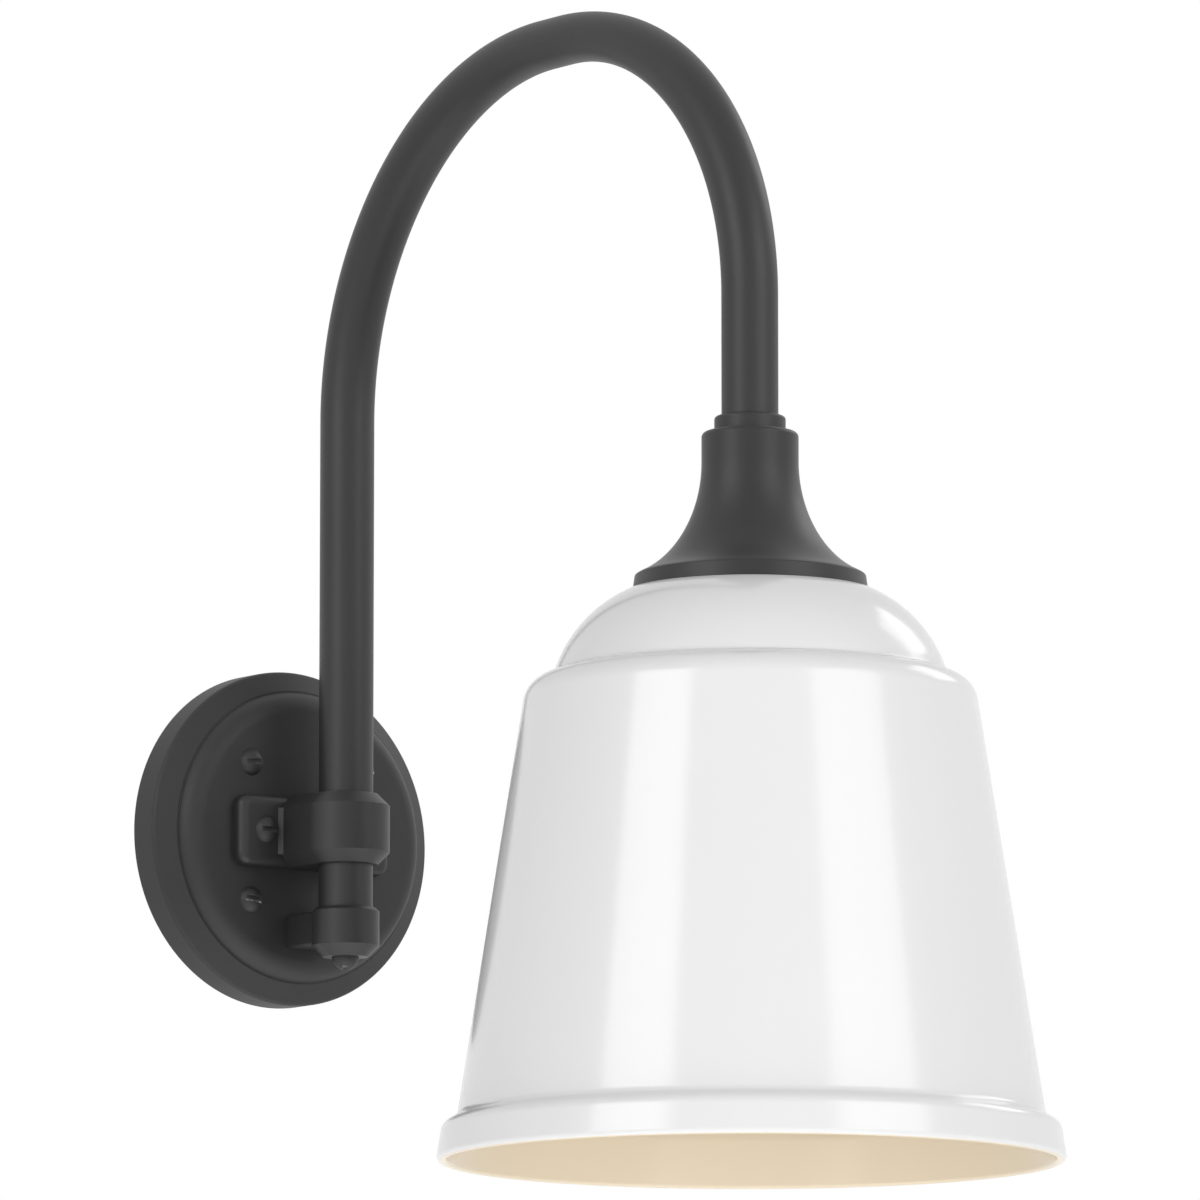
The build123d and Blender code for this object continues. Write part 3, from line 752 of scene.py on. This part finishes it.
@dataclass
class Shade:
    """Spun shell: flat top, dome, stepped shoulder, cone and a rolled rim."""

    wall: float = 1.2
    hole_radius: float = 31.0
    dome_start: float = 43.6
    dome_radius: float = 46.0
    dome_end: float = 68.7
    dome_drop: float = 29.05
    step_drop: float = 0.8
    step_width: float = 8.0
    cone_top_radius: float = 79.2
    cone_top_drop: float = 38.25
    cone_foot_radius: float = 101.9
    cone_foot_drop: float = 182.65
    rim_top_radius: float = 107.4
    rim_top_drop: float = 186.95
    bead_radius: float = 1.8
    bead_ease: float = 14.0
    bead_step: float = 9.0
    liner_start: float = 50.0
    dome_foot_round: float = 1.4
    dome_lead_in: float = 2.5
    cove_drop: float = 183.1
    cove_round: float = 3.5
    rim_bend_drop: float = 186.4
    rim_bend_round: float = 4.5
    bend_step: float = 4.0
    segments: int = 288

    def outside(self, rim_radius: float, bead_drop: float) -> Array:
        """Outline of the outside from the top hole to the bead, as radius and height.

        The cone ends in a rounded cove, from which a slope runs to the rounded bend of the rim's wall.

        Args:
            rim_radius: Radius of the rim.
            bead_drop: Drop of the bead's middle below the top.

        Returns:
            Array of (count, 2), heights from the top.
        """
        dome = arc_between((self.dome_start, 0), (self.dome_end, -self.dome_drop), self.dome_radius)
        reach = np.linalg.norm(dome - dome[-1], axis=1)
        dome = dome[reach > self.dome_lead_in]
        step_start = np.array((self.cone_top_radius - self.step_width, -self.dome_drop - self.step_drop))
        cone_start = np.array((self.cone_top_radius, -self.cone_top_drop))
        cone_stop = np.array((self.cone_foot_radius, -self.cone_foot_drop))
        wall_start = np.array((self.rim_top_radius, -self.rim_top_drop))
        wall_stop = np.array((rim_radius, -bead_drop))
        shoulder = tangent_arc(cone_start, cone_start - cone_stop, step_start)[::-1]
        cove = at_height(cone_start, cone_stop, -self.cove_drop)
        rim_bend = at_height(wall_start, wall_stop, -self.rim_bend_drop)
        corners = [(self.hole_radius, 0, 0)] + plain(dome)
        corners += [(self.dome_end, -self.dome_drop, self.dome_foot_round)] + plain(shoulder)
        corners += [(*cove, self.cove_round), (*rim_bend, self.rim_bend_round), (*wall_stop, 0)]
        return rounded(corners, self.bend_step)

    def build(self) -> None:
        """The shell: the outside, the bead's circle, its tangent to the lining and the offset outside.

        The tangent touches the circle at the direction of the lining's point plus the arc cosine of
        the circle's radius over that point's distance.
        """
        box = Place.of("shade")
        bead_drop = box.high[2] - box.low[2] - self.bead_radius
        outside = self.outside(box.radius, bead_drop)
        along = np.gradient(outside, axis=0)
        along /= np.linalg.norm(along, axis=1)[:, None]
        inside = outside + self.wall * np.column_stack((along[:, 1], -along[:, 0]))
        bead_centre = np.array((box.radius - self.bead_radius, -bead_drop))
        rising = inside[::-1]
        ease_height = bead_centre[1] + self.bead_ease
        ease_top = np.array((np.interp(ease_height, rising[:, 1], rising[:, 0]), ease_height))
        ease = ease_top - bead_centre
        meeting = np.degrees(np.arctan2(ease[1], ease[0]) + np.arccos(self.bead_radius / np.hypot(*ease)))
        bead = arc(bead_centre, self.bead_radius, 0, meeting - 360, self.bead_step)[1:]
        lining = np.vstack((ease_top, rising[rising[:, 1] > ease_height + self.wall]))
        profile = np.vstack((outside, bead, lining))
        surface = turned(profile, Axis.UP, box.axis_point(box.high[2]), self.segments)
        lined = np.arange(len(profile)) >= len(outside) + len(bead) * self.liner_start / (360 - meeting)
        surface.marks["liner"] = np.tile(lined.astype(float), self.segments)
        add_piece("shade_shell", surface, ENAMEL, Body.ARM, "shade")


@dataclass
class Gooseneck:
    """Bent tube with a window for the leads in its upright leg."""

    wall: float = 1.5
    rear_bend: float = 121.3
    front_bend: float = 107.0
    bend_step: float = 1.5
    flattening: float = 2.0
    window_height: float = 8.0
    window_angle: float = 145.9
    window_steps: int = 40
    back_steps: int = 58

    def path(self, rear: float, front: float, foot: float, tip: float, top: float) -> tuple[Array, Array]:
        """Centre line of straight legs and quarter circles, with the angle of its direction.

        Args:
            rear: y of the upright leg.
            front: y of the front leg.
            foot: Lower end of the upright leg.
            tip: Lower end of the front leg.
            top: Height of the centre line at the top.

        Returns:
            Points as y and z, and the direction's angle from -Y in radians.
        """
        half = self.window_height / 2
        legs = np.array((foot, -half, half, top - self.rear_bend))
        upright = np.column_stack((np.full(len(legs), rear), legs))
        rear_centre = (rear - self.rear_bend, top - self.rear_bend)
        front_centre = (front + self.front_bend, top - self.front_bend)
        rear_arc = arc(rear_centre, self.rear_bend, 0, 90, self.bend_step)
        front_arc = arc(front_centre, self.front_bend, 90, 180, self.bend_step)
        points = np.vstack((upright[:-1], rear_arc, front_arc, ((front, tip),)))
        angles = np.concatenate((np.full(len(legs) - 1, 90.0), np.linspace(90, 0, len(rear_arc)),
                                 np.linspace(0, -90, len(front_arc)), (-90.0,)))
        return points, np.radians(angles)

    def build(self) -> None:
        """Outer and inner walls: circles across the path, joined at the ends and round the window."""
        box = Place.of("arm_tube")
        rear, top = box.high[1:] - box.radius
        front = Place.of("neck_fitter").centre[1]
        tip = Place.of("tube_insert").low[2]
        points, angles = self.path(rear, front, box.low[2], tip, top)
        half = self.window_angle / 2
        window = np.linspace(-half, half, self.window_steps + 1)
        back = np.linspace(half, 360 - half, self.back_steps + 1)[1:-1]
        around = np.radians(np.concatenate((window, back)))
        outer, inner = (Surface.grid(self.circles(points, angles, around, radius), wrap_v=True)
                        for radius in (box.radius, box.radius - self.wall))
        number = np.arange(len(outer.points)).reshape(len(points), -1)
        sides = number.shape[1]
        kept = np.ones(len(outer.quads), bool)
        kept[sides:sides + self.window_steps] = False
        rim = np.concatenate((number[1, :len(window)], number[2, len(window) - 1::-1]))
        shift = number.size
        loops = [rim, number[0, ::-1], number[-1]]
        edges = np.vstack([np.column_stack((np.roll(loop, -1), loop)) for loop in loops])
        walls = np.column_stack((edges, edges[:, ::-1] + shift))
        quads = np.vstack((outer.quads[kept], inner.quads[kept][:, ::-1] + shift, walls))
        shell = Surface(np.vstack((outer.points, inner.points)), quads)
        add_piece("gooseneck_tube", shell, COAT, Body.ARM, "arm_tube")

    def circles(self, points: Array, angles: Array, around: Array, radius: float) -> Array:
        """Circles across the path: the path's point plus the radius across it and along X.

        The tube is flatter on the inner side of the bend. The height there is less by the flattening
        times the fourth power of the cosine of the path's angle, so that the legs stay round.

        Args:
            points: Path as y and z.
            angles: Direction of the path from -Y.
            around: Angles round a circle.
            radius: Radius of the circles.

        Returns:
            Array of (path, circle, 3).
        """
        across = np.column_stack((np.sin(angles), np.cos(angles)))
        flat = self.flattening * np.cos(angles)[:, None] ** 4
        height = radius * np.cos(around)[None] - flat * np.minimum(np.cos(around), 0)[None]
        x = radius * np.sin(around)[None] + 0 * angles[:, None]
        y = points[:, :1] + height * across[:, :1]
        z = points[:, 1:] + height * across[:, 1:]
        return np.stack((x, y, z), axis=-1)


@dataclass
class Fitter:
    """Trumpet casting with its collar."""

    neck_radius: float = 17.0
    neck_corner: float = 1.8
    neck_straight: float = 10.4
    flare_width: float = 33.0
    flare_drop: float = 42.0
    flare_sweep: float = 70.5
    flare_step: float = 1.5
    lip_bevel: float = 0.8
    lip_round: float = 0.8
    lip_edge: float = 0.5
    neck_wall: float = 3.0
    hollow_step: float = 3.0
    hollow_edge: float = 0.4
    flange_width: float = 8.2
    web_thickness: float = 4.0
    nipple_hole: float = 4.95
    insert_room: float = 1.55
    collar_round: float = 1.2
    collar_edge: float = 0.3
    segments: int = 192

    def build(self) -> None:
        """Turns the casting and the collar about the shade's axis."""
        casting, insert, collar = map(Place.of, ("neck_fitter", "tube_insert", "slip_collar"))
        origin = casting.axis_point(0)
        bottom, top, shelf = casting.low[2], casting.high[2], insert.low[2]
        tube_radius = insert.radius + self.insert_room
        flare_top = top - self.neck_straight
        axes = (self.flare_width, self.flare_drop)
        middle = (self.neck_radius + self.flare_width, flare_top)
        flare = arc(middle, axes, 180, 180 + self.flare_sweep, self.flare_step)
        web = shelf - self.web_thickness
        bore = casting.radius - self.flange_width
        inner_axes = np.array(axes) + self.neck_wall
        web_angle = 180 + np.degrees(np.arcsin((flare_top - web) / inner_axes[1]))
        bore_angle = 270 - np.degrees(np.arcsin((middle[0] - bore) / inner_axes[0]))
        hollow = arc(middle, tuple(inner_axes), bore_angle, web_angle, self.hollow_step)
        corners = [(tube_radius, top, 0), (self.neck_radius, top, self.neck_corner)] + plain(flare)
        corners += [(casting.radius - self.lip_bevel, flare[-1, 1] - self.lip_bevel, self.lip_round),
                    (casting.radius, bottom, self.lip_edge), (bore, bottom, self.hollow_edge)]
        corners += plain(hollow)
        corners += [(self.nipple_hole, web, 0), (self.nipple_hole, shelf, 0), (tube_radius, shelf, 0),
                    (tube_radius, top, 0)]
        neck = turned(rounded(corners)[:-1], Axis.UP, origin, self.segments)
        add_piece("trumpet_fitter", neck, FINE, Body.ARM, "neck_fitter")
        bottom, top = collar.low[2], collar.high[2]
        corners = [(tube_radius, bottom, 0), (collar.radius, bottom, self.collar_edge),
                   (collar.radius, top, self.collar_round), (tube_radius, top, self.collar_edge),
                   (tube_radius, bottom, 0)]
        ring = turned(rounded(corners)[:-1], Axis.UP, origin, self.segments)
        add_piece("collar_ring", ring, COAT, Body.ARM, "slip_collar")


@dataclass
class WallPlate:
    """Round hollow plate: plain side, bevel, ledge, rounded shoulder and flat face."""

    side: float = 12.3
    edge: float = 2.2
    bevel_width: float = 7.5
    bevel_rise: float = 4.5
    ledge: float = 0.8
    shoulder_rise: float = 0.6
    shoulder_ease: float = 2.4
    shoulder_step: float = 3.0
    ledge_round: float = 0.2
    wall: float = 2.4
    back_edge: float = 0.4
    inner_round: float = 0.8
    corner_step: float = 5.0
    boss_radius: float = 4.6
    boss_round: float = 0.5
    boss_bore: float = 2.5
    boss_bore_edge: float = 0.3
    boss_length: float = 9.0
    boss_root: float = 0.4
    boss_segments: int = 48
    segments: int = 256

    def build(self) -> None:
        """Turns the plate's outline of radius and depth about the wall's normal."""
        box = Place.of("wall_plate")
        radius, depth = box.radius, box.high[1] - box.low[1]
        bevel = radius - self.bevel_width
        bevel_depth = self.side + self.bevel_rise
        foot = bevel - self.ledge
        fall = depth - bevel_depth - self.shoulder_rise
        shoulder = fall + self.shoulder_ease
        flat = foot - np.sqrt(shoulder**2 - self.shoulder_ease**2)
        ease_angle = np.degrees(np.arcsin(self.shoulder_ease / shoulder))
        bend = arc((flat, depth - shoulder), shoulder, 90, ease_angle, self.shoulder_step)
        inside = radius - self.wall
        inner_depth = depth - self.wall
        corners = [(0, depth, 0)] + plain(bend)
        corners += [
            (foot, bevel_depth, self.ledge_round), (bevel, bevel_depth, self.ledge_round),
            (radius, self.side, self.edge), (radius, 0, self.back_edge), (inside, 0, self.back_edge),
            (inside, self.side - self.wall / 2, self.inner_round),
            (foot - self.wall, bevel_depth - self.wall / 2, self.inner_round),
            (flat - self.wall / 2, inner_depth, self.inner_round), (0, inner_depth, 0),
        ]
        profile = rounded(corners, self.corner_step)
        plate = turned(profile, Axis.OUT, (0, 0, 0), self.segments, closed=False).outward()
        plate = reduce(Surface.joined, self.bosses(inner_depth), plate)
        add_piece("plate_shell", plate, CAST, Body.BRACKET, "wall_plate")

    def bosses(self, inner_depth: float) -> list[Surface]:
        """Tapped bosses behind the saddle's screws.

        Args:
            inner_depth: Depth of the plate's inner face.

        Returns:
            A turned ring for each screw.
        """
        box = Place.of("saddle_screws")
        out = box.high[0] - (box.high[2] - box.low[2]) / 2
        near, far = inner_depth - self.boss_length, inner_depth + self.boss_root
        ring = [(self.boss_bore, far, 0), (self.boss_bore, near, self.boss_bore_edge),
                (self.boss_radius, near, self.boss_round), (self.boss_radius, far, 0),
                (self.boss_bore, far, 0)]
        profile = rounded(ring)[:-1]
        seats = ((-out, 0, 0), (out, 0, 0))
        return [turned(profile, Axis.OUT, seat, self.boss_segments).outward() for seat in seats]


@dataclass
class SlottedScrew:
    """Round-head screw with a driver slot."""

    head_radius: float
    head_height: float
    slot_width: float = 1.9
    slot_depth: float = 1.4
    slot_edge: float = 0.14
    slot_edge_share: float = 0.4
    wall_top: float = 0.1
    bare_depth: float = 0.02
    chords: int = 22
    rows: int = 40

    def head(self, turn: float, wear: float) -> Surface:
        """Dome over chords that run along the slot.

        A point's height is that of a ball over its place, less the chord's level times the height down
        to the slot's floor. Two chords stand at each wall of the slot, one at the floor, where the level
        is 1, and one near the dome.

        Args:
            turn: Turn of the slot in degrees.
            wear: How bare the slot's lower wall is, up to 1.

        Returns:
            The head, with its seat at height 0 and its axis up.
        """
        half = self.slot_width / 2
        outer = np.arcsin((half + self.slot_edge) / self.head_radius)
        chords = self.head_radius * np.sin(np.linspace(outer, np.pi / 2, self.chords))
        walls = np.array((0, half, half, half + self.slot_edge * self.slot_edge_share))
        offset = np.concatenate((walls, chords))
        level = np.concatenate(((1.0, 1.0, self.wall_top, 0.0), np.zeros(len(chords))))
        offset = np.concatenate((-offset[:0:-1], offset))[:, None]
        level = np.concatenate((level[:0:-1], level))[:, None]
        along = np.sin(np.linspace(-np.pi / 2, np.pi / 2, self.rows))[None]
        x = np.sqrt(np.maximum(self.head_radius**2 - offset**2, 0)) * along
        y = offset + 0 * along
        ball = (self.head_radius**2 + self.head_height**2) / (2 * self.head_height)
        dome = np.sqrt(np.maximum(ball**2 - x**2 - y**2, 0)) - (ball - self.head_height)
        floor = np.minimum(dome, self.head_height - self.slot_depth)
        z = dome - level * (dome - floor)
        bare = wear * ((level > 0) & (offset < 0) & (dome > floor + self.bare_depth))
        angle = np.radians(turn)
        points = np.stack((x * np.cos(angle) - y * np.sin(angle),
                           x * np.sin(angle) + y * np.cos(angle), z), axis=-1)
        seat = points.copy()
        seat[..., 2] = 0
        dome_surface = Surface.grid(points)
        dome_surface.marks["bare"] = bare.ravel()
        under = Surface.grid(seat)
        under.quads = under.quads[:, ::-1]
        return dome_surface.joined(under)


@dataclass
class Screws:
    """All screws that show: on the plate, on the ears and under the cup."""

    slot_turns: tuple[float, ...] = (4.0, -7.0, 12.0, 2.0)
    wear: tuple[float, ...] = (0.12, 1.0, 1.0, 0.5)
    ear_turns: tuple[float, ...] = (0.0, 5.0)
    ear_wear: tuple[float, ...] = (0.1, 0.3)
    pivot_turns: tuple[float, ...] = (-52.6,)
    pivot_wear: tuple[float, ...] = (0.4,)
    head_height: float = 3.3
    pivot_height: float = 4.8
    ear_length: float = 17.1
    shank: float = 2.4
    pitch: float = 0.8
    depth: float = 0.28
    pitch_steps: int = 10
    sides: int = 32

    def thread(self, length: float) -> Surface:
        """Shank below a seat: its radius falls by the depth times a wave of height over pitch less turn.

        Args:
            length: Length of the shank.

        Returns:
            The shank, with its seat at height 0.
        """
        height = np.linspace(0, -length, int(length / self.pitch * self.pitch_steps))[:, None]
        around = np.linspace(0, 2 * np.pi, self.sides, endpoint=False)[None]
        wave = 0.5 - 0.5 * np.cos(2 * np.pi * height / self.pitch - around)
        radius = self.shank - self.depth * wave
        radius[0], radius[-1] = 0, 0
        points = Axis.UP.stand(radius * np.cos(around), radius * np.sin(around), height + 0 * around)
        return Surface.grid(points, wrap_v=True)

    def group(self, screw: SlottedScrew, length: float, seats: list[tuple[float, float, float]],
              turns: tuple[float, ...], wear: tuple[float, ...], axis: Axis) -> Surface:
        """Copies of a screw on their seats.

        Args:
            screw: Head of the screws.
            length: Length of the shanks.
            seats: Middles of the seats.
            turns: Turns of the slots.
            wear: How bare the slots are.
            axis: Direction of the heads.

        Returns:
            One surface with all of them.
        """
        screws = []
        for seat, turn, bare in zip(seats, turns, wear):
            one = screw.head(turn, bare).outward().joined(self.thread(length).outward())
            one.points = axis.stand(*one.points.T) + np.array(seat)
            screws.append(one)
        return reduce(Surface.joined, screws)

    def build(self) -> None:
        """Reads each group's seats from the nodes and builds it."""
        plate, ears, bolt = map(Place.of, ("plate_screws", "saddle_screws", "pivot_screw"))
        face = Place.of("wall_plate").low[1]
        cup = Place.of("foot_bracket").low[2]
        head = SlottedScrew((ears.high[2] - ears.low[2]) / 2, self.head_height)
        out = plate.high[0] - head.head_radius
        seats = [(x, face, z) for x in (-out, out) for z in (out, -out)]
        group = self.group(head, plate.high[1] - face, seats, self.slot_turns, self.wear, Axis.OUT)
        add_piece("plate_screw_set", group, SCREW, Body.BRACKET, "plate_screws")
        ear = ears.high[1] - self.ear_length
        out = ears.high[0] - head.head_radius
        seats = [(-out, ear, 0), (out, ear, 0)]
        group = self.group(head, self.ear_length, seats, self.ear_turns, self.ear_wear, Axis.OUT)
        add_piece("ear_screw_pair", group, SCREW, Body.BRACKET, "saddle_screws")
        pivot = SlottedScrew(bolt.radius, self.pivot_height)
        seats = [bolt.axis_point(cup)]
        group = self.group(pivot, bolt.high[2] - cup, seats, self.pivot_turns, self.pivot_wear, Axis.DOWN)
        add_piece("pivot_bolt", group, SCREW, Body.ARM, "pivot_screw")


@dataclass
class LampSocket:
    """Porcelain lamp holder with its screw shell."""

    bore: float = 13.3
    pitch: float = 3.63
    relief: float = 0.42
    thread_room: float = 0.1
    shell_wall: float = 0.4
    shell_rows: int = 90
    clearance: float = 0.05
    mouth_round: float = 1.5
    mouth_edge: float = 0.5
    floor_edge: float = 0.3
    seat_depth: float = 1.4
    seat_edge: float = 0.2
    rivet_hole: float = 1.55
    neck_height: float = 7.0
    neck_edge: float = 0.3
    neck_taper: float = 0.02
    neck_round: float = 0.8
    segments: int = 128

    def build(self) -> None:
        """Turns the porcelain and rolls the shell's thread.

        The shell's radius falls by the relief times a wave of height over pitch less turn, which fades
        in over the first pitch.
        """
        body, shell, contact = map(Place.of, ("socket_body", "screw_shell", "centre_contact"))
        origin = body.axis_point(0)
        radius, bottom, top = body.radius, body.low[2], body.high[2]
        room = shell.radius + self.clearance
        seat = contact.radius + self.clearance
        foot = (room + radius) / 2
        floor = contact.low[2]
        seat_top = floor + self.seat_depth
        corners = [
            (foot, bottom, 0), (radius, bottom, self.mouth_round),
            (radius, top - self.neck_height, self.neck_edge),
            (radius - self.neck_taper, top, self.neck_round), (self.rivet_hole, top, 0),
            (self.rivet_hole, seat_top, 0), (seat, seat_top, 0), (seat, floor, self.seat_edge),
            (room, floor, self.floor_edge), (room, bottom, self.mouth_edge), (foot, bottom, 0),
        ]
        holder = turned(rounded(corners)[:-1], Axis.UP, origin, self.segments)
        add_piece("porcelain_holder", holder, PORCELAIN, Body.ARM, "socket_body")
        height = np.linspace(shell.low[2], shell.high[2], self.shell_rows)[:, None]
        around = np.linspace(0, 2 * np.pi, self.segments, endpoint=False)[None]
        pitches = (height - shell.low[2]) / self.pitch
        wave = np.cos(2 * np.pi * pitches - around)
        fade = np.clip(pitches, 0, 1)
        inner = self.bore + self.thread_room + self.relief * (wave - 1) / 2 * fade
        wall, lining = (Axis.UP.stand(ring * np.cos(around), ring * np.sin(around), height + 0 * around)
                        for ring in (inner + self.shell_wall, inner))
        points = np.concatenate((wall, lining[::-1])) + np.array(origin)
        sleeve = Surface.grid(points, wrap_u=True, wrap_v=True)
        add_piece("rolled_screw_shell", sleeve, BRASS, Body.ARM, "screw_shell")


def dress_carried_nodes() -> None:
    """Gives every node that keeps its own mesh its finish."""
    for finish, names in CARRIED.items():
        for name in names:
            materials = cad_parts[name].data.materials
            materials.clear()
            materials.append(finish.material())
            log.info("%s: %s", name, finish.name)


@dataclass(frozen=True)
class Softbox:
    """Area lamp that faces the light, in metres and watts, at a turn and rise as seen from the camera."""

    name: str
    turn: float
    rise: float
    size: tuple[float, float]
    power: float
    distance: float = 2.2
    mirrored: bool = True


LAMPS = (
    Softbox("left_softbox", -43.5, 20.0, (1.1, 1.1), 12.2),
    Softbox("right_softbox", 48.0, 20.0, (1.3, 1.1), 11.6),
    Softbox("front_fill", 10.0, -8.0, (5.0, 3.4), 87.5, 5.0, mirrored=False),
    Softbox("left_fill", -105.0, 0.0, (2.0, 2.0), 6.0, 3.0, mirrored=False),
    Softbox("right_fill", 105.0, 0.0, (2.0, 2.0), 6.0, 3.0, mirrored=False),
    Softbox("under_fill", 0.0, -78.0, (1.2, 1.2), 5.0, 0.9),
    Softbox("rear_right", 124.0, 33.0, (0.9, 0.8), 5.4),
)


@dataclass
class Studio:
    """Camera, lamps, background and floor, in metres."""

    aim: tuple[float, float, float] = (0.0444, -0.1422, 0.0779)
    distance: float = 3.7
    azimuth: float = 37.4
    pitch: float = 8.3
    lens: float = 306.0
    sensor: float = 36.0
    sight: float = 50.0
    floor_height: float = -4.6
    floor_reach: float = 4.0
    floor_lines: int = 9
    ambient: tuple[float, float] = (0.63, 0.21)
    ambient_heights: tuple[float, float] = (-0.5, 0.8)
    lamps: tuple[Softbox, ...] = LAMPS

    def direction(self, turn: float, rise: float) -> Array:
        """Direction from the object, by its turn to the right of the camera and its rise.

        Args:
            turn: Degrees to the right of the camera.
            rise: Degrees above the horizon.

        Returns:
            Unit vector.
        """
        angle = np.radians(180 + self.azimuth - turn)
        level = np.cos(np.radians(rise))
        return np.array((np.sin(angle) * level, np.cos(angle) * level, np.sin(np.radians(rise))))

    def camera(self) -> None:
        """Camera at the distance from the aim, below it and to its left."""
        data = bpy.data.cameras.new("camera")
        data.lens = self.lens
        data.sensor_width = self.sensor
        data.clip_end = self.sight
        camera = bpy.data.objects.new("camera", data)
        camera.location = np.array(self.aim) + self.distance * self.direction(0, -self.pitch)
        camera.rotation_euler = np.radians((90 + self.pitch, 0, -self.azimuth))
        bpy.context.scene.collection.objects.link(camera)
        bpy.context.scene.camera = camera

    def lamp(self, softbox: Softbox) -> None:
        """Puts a lamp at its distance from the aim and turns it to the aim.

        Args:
            softbox: The lamp, which shows in reflections if it is mirrored.
        """
        data = bpy.data.lights.new(softbox.name, "AREA")
        data.shape = "RECTANGLE"
        data.size, data.size_y = softbox.size
        data.energy = softbox.power
        lamp = bpy.data.objects.new(softbox.name, data)
        lamp.visible_glossy = softbox.mirrored
        outward = self.direction(softbox.turn, softbox.rise)
        lamp.location = np.array(self.aim) + softbox.distance * outward
        heading = np.arctan2(outward[0], -outward[1])
        lamp.rotation_euler = (np.radians(90 - softbox.rise), 0, heading)
        bpy.context.scene.collection.objects.link(lamp)

    def background(self) -> None:
        """White where it is seen, elsewhere a grey light that falls off upwards."""
        world = bpy.data.worlds.new("studio")
        bpy.context.scene.world = world
        world.use_nodes = True
        shader = Shader(world.node_tree, "Background")
        sky = shader.add("TexCoord", {}).outputs["Generated"]
        height = shader.add("SeparateXYZ", {0: sky}).outputs["Z"]
        grey = shader.span(height, *self.ambient, *self.ambient_heights)
        shader.feed("Color", WHITE)
        shader.feed("Strength", shader.span(shader.seen(), grey, 1.0, 0.0, 1.0))

    def floor(self) -> None:
        """Level grid under the light."""
        line = np.linspace(-self.floor_reach, self.floor_reach, self.floor_lines)
        x, y = np.meshgrid(line, line, indexing="ij")
        surface = Surface.grid(np.stack((x, y, 0 * x + self.floor_height), axis=-1))
        mesh = bpy.data.meshes.new("floor")
        mesh.from_pydata(surface.points.tolist(), [], surface.quads.tolist())
        mesh.materials.append(FLOOR.material())
        floor = bpy.data.objects.new("floor", mesh)
        bpy.context.scene.collection.objects.link(floor)

    def build(self) -> None:
        """Sets the studio up."""
        bpy.context.scene.view_settings.view_transform = "Standard"
        self.camera()
        self.background()
        self.floor()
        for softbox in self.lamps:
            self.lamp(softbox)


def main() -> None:
    """Builds the sub-assemblies in order."""
    logging.basicConfig(level=logging.INFO, format="%(name)s: %(message)s")
    Studio().build()
    for part in (Shade(), Gooseneck(), Fitter(), WallPlate(), Screws(), LampSocket()):
        part.build()
    dress_carried_nodes()
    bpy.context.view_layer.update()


if __name__ == "__main__":
    main()
